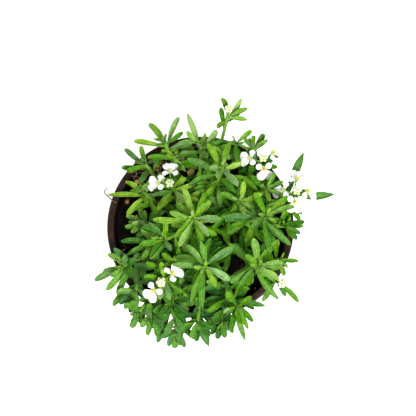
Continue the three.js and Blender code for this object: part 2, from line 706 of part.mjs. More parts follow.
function leafyStemSolid(shoots) {
  return join(shoots.flatMap((shoot) => [
    stemSolid(shoot),
    ...shoot.leaves.map(leafSolid),
    ...shoot.blooms.map((bloom) => stalkSolid(shoot, bloom)),
  ]));
}

function floretSolid(bloom) {
  const top = bloom.foot.clone().addScaledVector(bloom.facing, BOSS_HEIGHT);
  return join([
    rod([bloom.foot, top], [BOSS_RADIUS * 0.7, BOSS_RADIUS], 5),
    ...petalsOf(bloom).map((petal) => bladeSolid(petal, PETAL_STATIONS, petalOutline, PETAL_KEEL)),
  ]);
}

// A head of buds: a ball that stands out in a bump for each bud and is flat where it sits on the stem.
function budSolid(shoot) {
  const corners = new THREE.IcosahedronGeometry(1, 0).getAttribute("position");
  const crowns = Array.from({ length: corners.count }, (_, i) => at(0, 0, 0).fromBufferAttribute(corners, i));
  const ball = new THREE.IcosahedronGeometry(1, 1);
  const place = ball.getAttribute("position");
  for (let i = 0; i < place.count; i++) {
    const p = at(0, 0, 0).fromBufferAttribute(place, i);
    p.multiplyScalar(crowns.some((crown) => crown.distanceTo(p) < 0.01) ? BUD_OUT : BUD_IN);
    place.setXYZ(i, p.x, p.y, Math.max(p.z, -BUD_SEAT));
  }
  const turn = new THREE.Quaternion().setFromUnitVectors(UP, shoot.tipWay);
  const middle = shoot.course.getPoint(1).addScaledVector(shoot.tipWay, BUD_SEAT + SEAT_GAP);
  ball.applyQuaternion(turn).translate(...middle.toArray());
  return solidOf(ball);
}

growShoots();
growTufts();
growLowerLeaves();

addPart("pot", potSolid(), potPlastic);
addPart("soil", soilSolid(), darkSoil);
CHIPS.forEach((chip, k) => addPart(`bark_chip_${k + 1}`, chipSolid(chip, k), barkChip));
const stemCount = SHOOTS.filter((shoot) => shoot.root).length;
for (let k = 0; k < stemCount; k++) {
  addPart(`leafy_stem_${k + 1}`, leafyStemSolid(SHOOTS.filter((shoot) => shoot.node === k)), foliage);
}
SHOOTS.flatMap((shoot) => shoot.blooms).forEach((bloom, k) =>
  addPart(`floret_${k + 1}`, floretSolid(bloom), petalWhite));
SHOOTS.filter((shoot) => shoot.buds).forEach((shoot, k) =>
  addPart(`bud_head_${k + 1}`, budSolid(shoot), budCream));

export default plant;
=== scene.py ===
"""The dressed look of the potted candytuft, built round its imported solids.

The shoots and leaves grow here by the same rule, in the same order and with the same draws as in the
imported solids, so every fine leaf stands where its plain one does. Lengths are millimetres up to the
moment a mesh is made, and metres from there on.
"""

import math

import bmesh
import bpy
import numpy as np
from mathutils import Matrix, Vector, noise


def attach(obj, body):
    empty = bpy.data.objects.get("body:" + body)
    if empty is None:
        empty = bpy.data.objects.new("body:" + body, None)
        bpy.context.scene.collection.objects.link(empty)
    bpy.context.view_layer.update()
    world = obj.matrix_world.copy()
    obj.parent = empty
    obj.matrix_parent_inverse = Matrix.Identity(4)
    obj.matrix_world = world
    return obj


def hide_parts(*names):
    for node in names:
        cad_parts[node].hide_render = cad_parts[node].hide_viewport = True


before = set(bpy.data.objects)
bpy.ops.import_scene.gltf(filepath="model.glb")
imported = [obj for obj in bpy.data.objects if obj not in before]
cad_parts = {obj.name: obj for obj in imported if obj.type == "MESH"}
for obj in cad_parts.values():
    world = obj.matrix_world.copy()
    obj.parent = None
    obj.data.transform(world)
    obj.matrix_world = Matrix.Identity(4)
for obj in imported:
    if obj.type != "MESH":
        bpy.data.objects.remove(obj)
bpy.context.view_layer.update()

MM = 0.001

# Pot
POT_HEIGHT = 124
RIM_RADIUS = 75
RIM_BAND = 5.5
RIM_ROUND = 1.4
LIP_HEIGHT = 3.5
COLLAR_HEIGHT = 17
COLLAR_FOOT = POT_HEIGHT - COLLAR_HEIGHT
COLLAR_STEP = 2.4
COLLAR_FLARE = 0.7
WALL_TOP_RADIUS = 68
BASE_RADIUS = 52
BASE_ROUND = 1.5
WALL = 2.2
FLOOR = 3.5
DRAIN_RADIUS = 5
DRAIN_RING = 34
DRAIN_COUNT = 6
DRAIN_SIDES = 32
POT_SIDES = 160
SHARP_EDGE = 42

# Soil
SEAT_GAP = 0.3
SIDE_GAP = 0.4
SOIL_EDGE_GAP = 1.4
SOIL_BELOW_RIM = 12
SOIL_RADIUS = RIM_RADIUS - RIM_BAND - SOIL_EDGE_GAP
BANK_HEIGHT = 6.5
BANK_BEARING = 125
GRAIN = 0.7

# Stems
STEM_RADIUS = 1.5
SIDE_STEM_RADIUS = 1.3
TIP_RADIUS = 1.2
HOLE_DEPTH = 10
FOOT_RISE = 3
RISE_SHARE = 0.4
TIP_SHARE = 0.35
ROOT_LEAN = 0.35
FORK_LEAN = 0.6
UPRIGHT_LEAN = 15
UPRIGHT_RADIUS = 20
LEAN_PER_MM = 0.9
LEAN_HEIGHT = 66
HEAD_LEAN = 0.5

# Leaves
LEAF_WIDE_AT = 0.7
LEAF_TAPER = 1.3
LEAF_BLUNT = 2.2
LEAF_FOOT = 0.18
LEAF_CHANNEL = 0.3
LEAF_SAG = 0.16
LEAF_BREADTH = 3.4
BREADTH_PER_LENGTH = 0.045
LEAF_ROLL = 26
BLADE_END = 0.97
LEAST_WIDTH = 0.3
TUFT_START = 0.6
HEAD_START = 5
TUFT_STEP = 1.2
LONG_REACH = 25
LONG_RISE = 20
RISE_PER_MM = 1.6
MOST_DROOP = 6
LEAN_EFFECT = 0.75
RISE_PLAY = 8
LOWEST_RISE = -40
STEEPEST_RISE = 62
LEAST_SPREAD = 0.62
SHORTEST_REACH = 8
TURN = 137.5
LOWER_START = 0.8
LOWER_STRETCH = 0.5
LOWER_LENGTH = 17
LOWER_LENGTH_PLAY = 8
LOWER_RISE = 12
LOWER_RISE_PLAY = 22

# Flowers
PETALS = [(-27, 9), (27, 9), (-118, 6.2), (118, 6.2)]
PETAL_BREADTH = 0.76
PETAL_RISE = 16
PETAL_SAG = 0.2
PETAL_NECK = 0.16
PETAL_FOOT = 0.7
PETAL_OPENING = 1.5
PETAL_SQUARENESS = 5
PETAL_DEPTH = 0.8
FLORET_REACH = 8.5
FLORET_LIFT = 3.5
FLORET_TILT = 28
BOSS_HEIGHT = 1.7
STALK_RADIUS = 0.7
STALK_DROP = 3.6
STALK_BEND = 2.2
BUD_OUT = 4.2
BUD_SEAT = 2.5

# Room kept while growing
BLADE_ROOM = 0.8
OWN_ROOM = 0.4
STEM_ROOM = 1.2
FLORET_ROOM = 0.9
POT_ROOM = 1.2
INNER_SHARE = 0.12
OUTER_SHARE = 0.34

# Seeds of the draws
TUFT_SEED = 1
LOWER_SEED = 501
EXTRA_SEED = 1301
STEM_SEED = 2101
FLORET_SEED = 3301
BUD_SEED = 4401
SOIL_SEED = 5501
SEED_SPREAD = 7919
SEED_START = 101
DRAW_FACTOR = 16807
DRAW_MODULUS = 2147483647

# Smaller leaves in the shade of the mound, which only this script adds
EXTRA_STEP = 1.9
EXTRAS_FROM_ROOT = 0.12
EXTRAS_FROM_FORK = 0.2
EXTRAS_UP_TO = 0.84
LOW_EXTRAS_UP_TO = 0.9
LOW_EXTRA_LENGTH = 16
EXTRA_LENGTH = 12
EXTRA_LENGTH_GAIN = 8
EXTRA_LENGTH_PLAY = 5
EXTRA_RISE = -8
EXTRA_RISE_PLAY = 34
LOW_TIP = 24
COOL_TIP = 16

# Where no such leaf ends: place and room
CLEARINGS = [(35, -34, 8), (46, -48, 9), (0, 76, 9), (-8, 40, 6), (50, 36, 6)]

# Where no such leaf is seen from above: place, as it looks at the level of the soil, and room
BARE_SPOTS = [
    (-7.3, 48, 3.4), (-3, 69, 4), (-39, 60, 10), (18, 74, 6), (34, 69, 6), (72, -20, 7), (73, -34, 7),
    (71, -44, 5), (42, -49, 6), (27, -28, 5), (35, 82, 7),
]
SPOT_LEAN = 0.27
SPOT_SHARES = (0.4, 0.6, 0.8, 1)

# How far the extra leaves reach towards the bare bank of soil
BARE_BEARING = 145
BARE_REACH = 44

# Blades
LAST_ROW_AT = 0.9992
CROWDING = 1.5
GROOVE_DEPTH = 0.09
GROOVE_WIDTH = 0.14
KEEL_WIDTH = 0.24
RIPPLES = 9.5

# Tones of the leaves, from dark to light; the gain with height and the darkening of the extra leaves are
# painted light and shade
LEAF_TONE = 0.2
YOUTH_TONE = 0.35
PAINTED_LIGHT_PER_MM = 0.0075
TONE_PLAY = 0.42
EXTRA_SHADE = 0.08
LOW_COOL = 0.3
# Share of the greyish tint kept in the extra leaves under tall shoots, as painted shade
EXTRA_COOL_IN_PAINTED_SHADE = 0.4

# Fine leaves, and the young ones at a shoot's tip
LEAF_ROWS = 16
SHORT_LEAF_ROWS = 12
SHORT_LEAF = 12
EXTRA_ROWS = 10
LEAF_THICKNESS = 0.42
LEAF_KEEL = 0.3
LEAF_SWAY = 0.09
LEAF_TWIST = 30
LEAF_WAVE = 0.2
YOUNG_COUNT = 7

# Florets, and the numbers that tell the parts of flowers apart; green ones are sepals and short stalks
PETAL_FULLNESS = 1.1
SEPAL_COUNT = 4
STAMEN_COUNT = 6
PETAL, GREEN, OVARY, FILAMENT, ANTHER, BUD = range(6)

# Buds in a head: reach, length, breadth, rows of points, points in a row; and how low they may sit
LARGE_BUD = (2.5, 3.3, 1.4, 10, 12)
SMALL_BUD = (2.0, 2.6, 0.95, 8, 10)
LOWEST_BUD = -0.4

# The soil's surface, and what is strewn over it
SOIL_RINGS = 96
SOIL_AROUND = 216
CRUMB_SIZE = 3.2
CRUMB_HEIGHT = 0.75
EDGE_CRUMBS = 0.25
CLOD_SIZE = 9.0
CLOD_HEIGHT = 0.9
GRIT_COUNT = 2600
GRIT_SPREAD = 0.985
DEBRIS_COUNT = 700
FIBRE_COUNT = 150
FIBRE_SPREAD = 0.94

# How golden the middle of a floret is, by its number, where it isn't fully so
GOLD = {1: 0.0, 2: 0.0, 5: 0.3, 8: 0.5}

# How much lighter or darker each bark chip is than the rest: partly each chip's own tone, partly painted
# light that lifts the first chip, which lies in the leaves' shade
CHIP_TONES_AND_PAINTED_LIGHT = (0.24, 0.12, 0.04, -0.22, 0, 0)

# The shoots: root or fork, tip (east, north, above the rim), number of lower leaves, and the tuft's
# leaves by bearing, reach and, for a broad one, breadth. Some shoots carry florets, each by its bearing,
# some carry buds, and some are broad in every leaf.
SHOOTS = [
    dict(root=(-1, -4), tip=(-5, -10, 58), lower=5, tuft=[
        (109, 25), (170, 17), (176, 30), (230, 19), (243, 22), (308, 18), (356, 21, 1.2), (55, 13)]),
    dict(fork=0.5, tip=(-27, -20, 34), lower=2, tuft=[
        (190, 18), (235, 18), (92, 14), (140, 16), (300, 12)]),
    dict(root=(2, -15), tip=(4, -45, 53), lower=5, tuft=[
        (98, 20), (136, 19), (33, 25, 1.2), (333, 20, 1.2), (297, 16), (267, 29), (246, 26), (177, 24)]),
    dict(fork=0.45, tip=(-17, -38, 29), lower=2, tuft=[
        (95, 10), (196, 16), (150, 14), (240, 14), (215, 20)]),
    dict(root=(14, -13), tip=(43, -43, 43), lower=4, tuft=[
        (98, 20, 1.2), (329, 17), (303, 27), (226, 21), (205, 22), (52, 26), (9, 18, 1.3), (150, 14)]),
    dict(fork=0.45, tip=(61, -33, 18), lower=0, tuft=[
        (2, 15), (280, 13), (225, 14)]),
    dict(fork=0.62, tip=(60, -52, 27), lower=0, buds=True, tuft=[
        (297, 11), (228, 20)]),
    dict(root=(16, -3), tip=(49, -6, 48), lower=4, tuft=[
        (182, 32, 1.35), (310, 28), (276, 27), (46, 24), (22, 23), (120, 18), (230, 18)]),
    dict(fork=0.5, tip=(66, -6, 21), lower=2, tuft=[
        (17, 16), (0, 14), (330, 13), (78, 18), (290, 12), (310, 13)]),
    dict(root=(9, 4), tip=(30, 6, 46), lower=4, tuft=[
        (159, 15), (83, 14), (321, 21), (232, 18), (20, 18), (285, 14)]),
    dict(root=(5, 12), tip=(17, 32, 48), lower=5, tuft=[
        (76, 24), (14, 15), (301, 23, 1.2), (200, 11), (162, 28, 1.2), (211, 29), (119, 23), (258, 14)]),
    dict(root=(6, 24), tip=(22, 83, 34), lower=0, buds=True, tuft=[
        (117, 13, 1.25), (50, 16), (8, 15), (330, 15), (234, 17)]),
    dict(fork=0.6, tip=(29, 58, 29), lower=1, tuft=[
        (42, 15), (205, 14), (290, 16)]),
    dict(root=(-2, 20), tip=(1, 55, 32), lower=1, tuft=[
        (109, 37), (135, 16), (52, 20, 1.2), (15, 18), (335, 16), (200, 18), (285, 16)]),
    dict(root=(-10, 23), tip=(-28, 59, 28), lower=2, tuft=[
        (171, 25, 1.1), (118, 24.5, 1.4), (69, 27), (347, 27, 1.35), (232, 9), (25, 16)]),
    dict(fork=0.6, tip=(-19, 49, 21), lower=1, tuft=[
        (347, 15), (200, 13), (165, 12), (45, 14), (280, 14)]),
    dict(root=(-17, 17), tip=(-44, 45, 18), lower=2, tuft=[
        (131, 25), (106, 17), (188, 19, 1.1), (209, 16, 1.25), (275, 21, 1.3), (330, 14)]),
    dict(root=(-19, 9), tip=(-46, 21, 20), lower=4, tuft=[
        (170, 29), (146, 16), (244, 22, 1.2), (297, 15), (351, 23), (75, 16), (30, 14)]),
    dict(root=(-9, 12), tip=(-23, 25, 27), lower=3, florets=(92, 180), buds=True, tuft=[
        (140, 13), (20, 13), (305, 19, 1.2), (245, 18, 1.2)]),
    dict(root=(-21, 1), tip=(-48, -1, 8), lower=3, tuft=[
        (92, 13), (151, 13), (196, 12), (238, 12), (37, 15), (60, 13), (305, 11)]),
    dict(root=(-18, -7), tip=(-38, -20, 15), lower=4, tuft=[
        (173, 25), (201, 22), (120, 14), (240, 14), (60, 12), (300, 14)]),
    dict(root=(-22, -16), tip=(-59, -37, 14), lower=4, broad=1.15, tuft=[
        (141, 16), (188, 17), (203, 26), (234, 22), (257, 22), (307, 12, 1.2), (63, 10), (25, 14)]),
    dict(fork=0.55, tip=(-50, -55, 9), lower=2, broad=1.15, tuft=[
        (208, 22), (234, 16), (270, 14), (180, 13), (330, 14), (250, 17)]),
    dict(root=(-10, -19), tip=(-28, -52, 33), lower=3, florets=(232, 35), buds=True, tuft=[
        (300, 15), (165, 14), (100, 14), (265, 12)]),
    dict(root=(-15, -27), tip=(-47, -71, 6), lower=4, broad=1.2, tuft=[
        (180, 13), (212, 14), (245, 13), (150, 12), (285, 12), (325, 12), (115, 11)]),
    dict(fork=0.6, tip=(-37, -76, 8), lower=3, broad=1.2, tuft=[
        (250, 13), (280, 14), (215, 11), (320, 12), (180, 11), (110, 12), (350, 12)]),
    dict(root=(-6, -30), tip=(-23, -68, 15), lower=5, broad=1.15, tuft=[
        (120, 12), (11, 17), (252, 27), (200, 14), (300, 22), (65, 12), (225, 22), (278, 28, 1.15),
        (330, 15)]),
    dict(fork=0.62, tip=(-19, -85, 0), lower=3, broad=1.2, tuft=[
        (250, 13), (286, 14), (320, 12), (205, 12), (268, 15, 1.15)]),
    dict(root=(2, -33), tip=(-2, -79, 8), lower=5, broad=1.25, tuft=[
        (249, 13), (290, 19, 1.3), (335, 13), (200, 13), (265, 14), (310, 15, 1.15), (225, 14)]),
    dict(root=(10, -26), tip=(28, -69, 21), lower=3, tuft=[
        (2, 21), (282, 25), (300, 18), (31, 12), (204, 12), (120, 16), (255, 18), (320, 16)]),
    dict(fork=0.6, tip=(17, -79, 10), lower=3, broad=1.25, tuft=[
        (252, 13), (308, 13), (5, 11), (222, 13), (280, 12), (340, 13), (195, 12)]),
    dict(root=(17, 18), tip=(48, 45, 28), lower=4, florets=(182, 278, 25), buds=True, tuft=[
        (140, 14), (330, 14), (235, 13)]),
    dict(fork=0.6, tip=(42, 57, 23), lower=1, tuft=[
        (55, 16, 1.2), (88, 10), (135, 10)]),
    dict(root=(19, 8), tip=(51, 20, 34), lower=4, tuft=[
        (150, 15), (62, 15), (20, 15), (330, 14), (262, 13), (205, 15)]),
    dict(root=(26, 3), tip=(73, 19, 27), lower=2, florets=(178, 267, 354, 81), buds=True, tuft=[
        (74, 38, 1.35), (1, 33, 1.35), (225, 14), (252, 18)]),
]

# How much lighter the leaves of a shoot are than those of the others, by its number: partly the shoot's own
# tone, partly painted light that lifts shoots lying in the shade of taller ones
SHOOT_TONES_AND_PAINTED_LIGHT = {
    2: -0.06, 3: -0.12, 4: -0.12, 5: -0.06, 9: -0.05, 11: 0.06, 12: 0.2, 13: -0.05, 14: 0.1, 15: 0.08,
    16: 0.16, 17: 0.1, 18: 0.14, 19: 0.5, 20: 0.18, 21: 0.12, 22: 0.08, 28: 0.05, 29: -0.12, 31: -0.08,
    33: 0.08,
}

# Leaves that stand out from their neighbours, by shoot and bearing: how light, how greyish, how pointed
LEAF_TINTS = {
    (1, 176): (0.74, 0.1), (1, 109): (0.78, 0.2), (1, 170): (0.66, 0.2), (1, 356): (0.62, 0.8),
    (1, 308): (0.76, 0.8, 0.3), (3, 33): (0.52, 0.9), (3, 333): (0.74, 0.9), (3, 98): (0.56, 0.3, 1.0),
    (3, 267): (0.44, 0.2, 1.0), (3, 246): (0.5, 0.2, 0.7), (5, 303): (0.54, 0.3, 0.6), (5, 98): (0.64, 0.3),
    (8, 182): (0.36, 0.8, 0.4), (11, 76): (0.64, 0.1), (11, 200): (0.72, 0.6), (11, 301): (0.72, 0.9),
    (12, 117): (0.6, 0.1), (14, 109): (1.15, 0.6, 0.5), (15, 69): (0.76, 0.5), (15, 171): (0.78, 0.0),
    (15, 118): (0.74, 0.0), (18, 170): (0.78, 0.0, 0.5), (18, 146): (0.72, 0.0), (18, 244): (0.82, 0.0),
    (22, 188): (0.54, 0.7), (22, 203): (0.52, 0.8), (23, 208): (0.42, 0.3), (23, 234): (0.4, 0.4),
    (28, 268): (0.5, 0.3), (29, 290): (0.3, 0.6, 1.0), (30, 2): (0.35, 0.5, 0.5), (30, 282): (0.5, 0.5, 0.8),
    (33, 55): (0.45, 0.4), (35, 74): (0.46, 0.6, 1.0), (35, 1): (0.44, 0.5, 1.0),
}

# Ways in which a leaf may give way: change of rise, change of bearing, share of its length
YIELDS = [
    (0, 0, 1), (9, 0, 1), (-9, 0, 1), (0, 9, 1), (0, -9, 1), (18, 0, 1), (-18, 0, 1),
    (9, 14, 1), (9, -14, 1), (-9, 14, 1), (-9, -14, 1), (0, 0, 0.82), (14, 0, 0.82), (-14, 0, 0.82),
    (0, 16, 0.82), (0, -16, 0.82), (27, 0, 0.82), (-27, 0, 0.82), (0, 0, 0.66), (20, 0, 0.66),
    (-20, 0, 0.66), (0, 22, 0.66), (0, -22, 0.66), (36, 0, 0.66),
]

# An extra leaf grows shorter still in the last of these ways
FULL_LENGTH_YIELDS = 11
EXTRA_SHORTENING = 0.8
EXTRA_YIELDS = YIELDS[:FULL_LENGTH_YIELDS] + [
    (rise, turn, share * EXTRA_SHORTENING) for rise, turn, share in YIELDS[FULL_LENGTH_YIELDS:]]


# Growth

def at(*numbers):
    return np.array(numbers, float)


UP = at(0, 0, 1)


def bearing_of(degrees):
    return at(math.cos(math.radians(degrees)), math.sin(math.radians(degrees)), 0)


def degrees_of(way):
    return math.degrees(math.atan2(way[1], way[0]))


def leaning(out, degrees):
    """The direction that leans from the vertical towards out."""
    return out * math.sin(math.radians(degrees)) + UP * math.cos(math.radians(degrees))


def unit(v):
    return v / np.linalg.norm(v)


def turned(v, axis, degrees):
    """v turned about a unit axis."""
    c, s = math.cos(math.radians(degrees)), math.sin(math.radians(degrees))
    return v * c + np.cross(axis, v) * s + axis * np.dot(axis, v) * (1 - c)


def draws_from(seed):
    """Draws from 0 to 1 that are the same on every run."""
    state = seed * SEED_SPREAD + SEED_START

    def draw():
        nonlocal state
        state = (state * DRAW_FACTOR) % DRAW_MODULUS
        return state / DRAW_MODULUS

    draw()
    return draw


def bezier(course, t):
    t = np.asarray(t, float)[..., None]
    k = 1 - t
    a, b, c, d = course
    return k * k * k * a + 3 * k * k * t * b + 3 * k * t * t * c + t * t * t * d


def leaf_outline(s):
    s = np.asarray(s, float)
    opening = np.sin(math.pi / 2 * np.minimum(s / LEAF_WIDE_AT, 1)) ** LEAF_TAPER
    past = np.maximum(s - LEAF_WIDE_AT, 0) / (1 - LEAF_WIDE_AT)
    closing = np.sqrt(np.maximum(1 - past ** LEAF_BLUNT, 0))
    return np.where(s < LEAF_WIDE_AT, LEAF_FOOT + (1 - LEAF_FOOT) * opening, closing)


def petal_outline(s):
    s = np.asarray(s, float)
    return np.minimum(1, PETAL_NECK + PETAL_OPENING * s) * np.sqrt(np.maximum(1 - s ** PETAL_SQUARENESS, 0))


def blade_middle(blade, s):
    """The middle line of a blade: it leaves its foot at an angle and bends down along its length."""
    s = np.asarray(s, float)[..., None]
    rise = math.radians(blade["rise"])
    return (blade["foot"] + blade["out"] * (blade["length"] * math.cos(rise) * s)
            + blade["up"] * (blade["length"] * (math.sin(rise) * s - blade["sag"] * s * s)))


def blade_points(blade, outline, start, end):
    """Points over a blade between two shares of its length."""
    side = unit(np.cross(blade["up"], blade["out"]))
    steps = math.ceil(blade["length"])
    s = np.arange(math.ceil(start * steps), math.floor(end * steps) + 1) / steps
    half = blade["width"] / 2 * outline(np.minimum(s, BLADE_END))
    across = half[:, None] * at(-1, -0.5, 0, 0.5, 1)
    return (blade_middle(blade, s)[:, None] + across[..., None] * side).reshape(-1, 3)


def soil_top(x, y):
    reach = np.hypot(x, y) / SOIL_RADIUS
    swing = np.cos(np.arctan2(y, x) - math.radians(BANK_BEARING))
    bank = BANK_HEIGHT * np.maximum(0, swing) ** 2 * reach ** 3
    grain = np.sin(x / 4.1 + 1) * np.cos(y / 3.7) + 0.5 * np.sin((x + y) / 2.9)
    return POT_HEIGHT - SOIL_BELOW_RIM + bank + GRAIN * grain * (1 - reach ** 6)


def keeps_clear(points, rows):
    apart = ((points[:, None] - rows[None, :, :3]) ** 2).sum(-1)
    return bool((apart >= (rows[:, 3] + BLADE_ROOM) ** 2).all())


class Taken:
    """The space that stems, blades and flowers hold, as points with the room that each keeps."""
    BLOOM = -1
    CELL = 8

    def __init__(self):
        self.cells = {}

    def take(self, points, room, node, outer):
        for x, y, z in np.reshape(points, (-1, 3)).tolist():
            cell = self.cells.setdefault((x // self.CELL, y // self.CELL, z // self.CELL), [])
            cell.append((x, y, z, room, node, outer))

    def near(self, points):
        """The taken points in and round the box over points: place, room, node, whether outer."""
        low, high = points.min(0) - BUD_OUT - BLADE_ROOM, points.max(0) + BUD_OUT + BLADE_ROOM
        cells = [range(int(a // self.CELL), int(b // self.CELL) + 1) for a, b in zip(low, high)]
        rows = [row for x in cells[0] for y in cells[1] for z in cells[2]
                for row in self.cells.get((x, y, z), ())]
        rows = np.array(rows).reshape(-1, 6)
        return rows[((rows[:, :3] >= low) & (rows[:, :3] <= high)).all(axis=1)]

    def is_free(self, leaf, node):
        inner = blade_points(leaf, leaf_outline, INNER_SHARE, OUTER_SHARE)
        outer = blade_points(leaf, leaf_outline, OUTER_SHARE, 1)
        every = np.vstack([inner, outer])
        reach = np.hypot(every[:, 0], every[:, 1])
        clear_of_pot = ((reach > RIM_RADIUS + POT_ROOM) | (every[:, 2] > POT_HEIGHT + POT_ROOM)
                        | ((reach < SOIL_RADIUS - POT_ROOM)
                           & (every[:, 2] > soil_top(every[:, 0], every[:, 1]) + POT_ROOM)))
        if not clear_of_pot.all():
            return False
        rows = self.near(every)
        own = rows[:, 4] == node
        return keeps_clear(every, rows[~own]) and keeps_clear(outer, rows[own & (rows[:, 5] > 0)])

    def place(self, node, wanted, yields=YIELDS):
        for rise, turn, share in yields:
            leaf = dict(foot=wanted["foot"], out=bearing_of(wanted["bearing"] + turn),
                        rise=wanted["rise"] + rise, sag=LEAF_SAG, length=wanted["length"] * share,
                        width=wanted["width"] * (LEAST_WIDTH + (1 - LEAST_WIDTH) * share))
            leaf["up"] = turned(UP, leaf["out"], wanted["roll"])
            if not self.is_free(leaf, node):
                continue
            self.take(blade_points(leaf, leaf_outline, INNER_SHARE, OUTER_SHARE), BLADE_ROOM, node, 0)
            self.take(blade_points(leaf, leaf_outline, OUTER_SHARE, 1), OWN_ROOM, node, 1)
            return leaf
        return None


taken = Taken()


def set_course(shoot, parent):
    """The course of a shoot from its root or fork to its leaning tip."""
    x, y, above = shoot["tip"]
    tip = at(x, y, POT_HEIGHT + above)
    if parent:
        start = bezier(parent["course"], shoot["fork"])
    else:
        rx, ry = shoot["root"]
        start = at(rx, ry, soil_top(rx, ry) + FOOT_RISE)
    out = unit(at(x - start[0], y - start[1], 0))
    outward = LEAN_PER_MM * max(0, math.hypot(x, y) - UPRIGHT_RADIUS) * (1 - above / LEAN_HEIGHT)
    lean = (UPRIGHT_LEAN + outward) * (HEAD_LEAN if shoot.get("buds") else 1)
    if parent:
        t = shoot["fork"]
        along = unit(bezier(parent["course"], min(t + 0.01, 1)) - bezier(parent["course"], max(t - 0.01, 0)))
        start_way = unit(along + out * FORK_LEAN)
    else:
        start_way = unit(out * ROOT_LEAN + UP)
    tip_way = leaning(out, lean)
    span = np.linalg.norm(tip - start)
    course = (start, start + start_way * RISE_SHARE * span, tip - tip_way * TIP_SHARE * span, tip)
    shoot.update(course=course, span=span, lean=lean, out=out, tip_way=tip_way, end=tip)


def floret_of(shoot, bearing):
    out = bearing_of(bearing)
    return dict(foot=shoot["end"] + out * FLORET_REACH + UP * FLORET_LIFT, facing=leaning(out, FLORET_TILT),
                bearing=bearing)


def petals_of(floret):
    level = bearing_of(floret["bearing"])
    facing = floret["facing"]
    outward = unit(level - facing * np.dot(level, facing))
    petals = []
    for turn, length in PETALS:
        out = turned(outward, facing, turn)
        petals.append(dict(foot=floret["foot"] + facing * (BOSS_HEIGHT - PETAL_DEPTH) + out * PETAL_FOOT,
                           out=out, up=facing, rise=PETAL_RISE, sag=PETAL_SAG, length=length,
                           width=PETAL_BREADTH * length))
    return petals


def grow_shoots():
    parent, node = None, -1
    for shoot in SHOOTS:
        rooted = "root" in shoot
        node += rooted
        set_course(shoot, None if rooted else parent)
        shoot.update(node=node, leaves=[], extras=[])
        if rooted:
            parent = shoot
        steps = math.ceil(shoot["span"])
        taken.take(bezier(shoot["course"], np.arange(steps + 1) / steps), STEM_ROOM, node, 0)
        shoot["blooms"] = [floret_of(shoot, bearing) for bearing in shoot.get("florets", ())]
        for bloom in shoot["blooms"]:
            for petal in petals_of(bloom):
                taken.take(blade_points(petal, petal_outline, 0, 1), FLORET_ROOM, Taken.BLOOM, 1)
            steps = math.ceil(np.linalg.norm(bloom["foot"] - shoot["end"]))
            shares = (np.arange(steps + 1) / steps)[:, None]
            taken.take(shoot["end"] + (bloom["foot"] - shoot["end"]) * shares, FLORET_ROOM, node, 0)
        if shoot.get("buds"):
            taken.take(shoot["end"] + shoot["tip_way"] * BUD_SEAT, BUD_OUT, Taken.BLOOM, 1)


def add_leaf(shoot, along, bearing, rise, length, breadth, roll, kind="leaves", yields=YIELDS, tint=None):
    leaf = taken.place(shoot["node"], dict(
        foot=bezier(shoot["course"], along), bearing=bearing, rise=rise, length=length, roll=roll,
        width=(LEAF_BREADTH + BREADTH_PER_LENGTH * length) * breadth * shoot.get("broad", 1)), yields)
    if leaf:
        leaf.update(along=along, extra=kind == "extras", tint=tint)
        shoot[kind].append(leaf)


def grow_tufts():
    for number, shoot in enumerate(SHOOTS):
        draw = draws_from(number + TUFT_SEED)
        # Partly painted light: shoots in the shade of taller ones are painted lighter.
        shoot["lighter"] = SHOOT_TONES_AND_PAINTED_LIGHT.get(number + 1, 0)
        out_bearing = degrees_of(shoot["out"])
        for k, (bearing, reach, *broad) in enumerate(sorted(shoot["tuft"], key=lambda leaf: leaf[1])):
            below = (HEAD_START if shoot.get("buds") else TUFT_START) + k * TUFT_STEP
            along = 1 - below / shoot["span"]
            aim = (shoot["end"] + bearing_of(bearing) * reach - bezier(shoot["course"], along)) * at(1, 1, 0)
            nod = LEAN_EFFECT * shoot["lean"] * math.cos(math.radians(bearing - out_bearing))
            play = RISE_PLAY * (draw() - 0.5)
            free = LONG_RISE + max(RISE_PER_MM * (LONG_REACH - reach), -MOST_DROOP) - nod + play
            rise = min(max(free, LOWEST_RISE), STEEPEST_RISE)
            length = (max(np.linalg.norm(aim), SHORTEST_REACH)
                      / max(math.cos(math.radians(rise)), LEAST_SPREAD))
            roll = LEAF_ROLL * (draw() - 0.5)
            add_leaf(shoot, along, degrees_of(aim), rise, length, broad[0] if broad else 1, roll,
                     tint=LEAF_TINTS.get((number + 1, bearing)))


def grow_lower_leaves():
    for number, shoot in enumerate(SHOOTS):
        draw = draws_from(number + LOWER_SEED)
        first = 360 * draw()
        for k in range(shoot["lower"]):
            along = LOWER_START - LOWER_STRETCH * (k / shoot["lower"])
            length = LOWER_LENGTH + LOWER_LENGTH_PLAY * draw()
            rise = LOWER_RISE + LOWER_RISE_PLAY * draw()
            roll = LEAF_ROLL * (draw() - 0.5)
            add_leaf(shoot, along, first + TURN * k, rise, length, 1, roll)


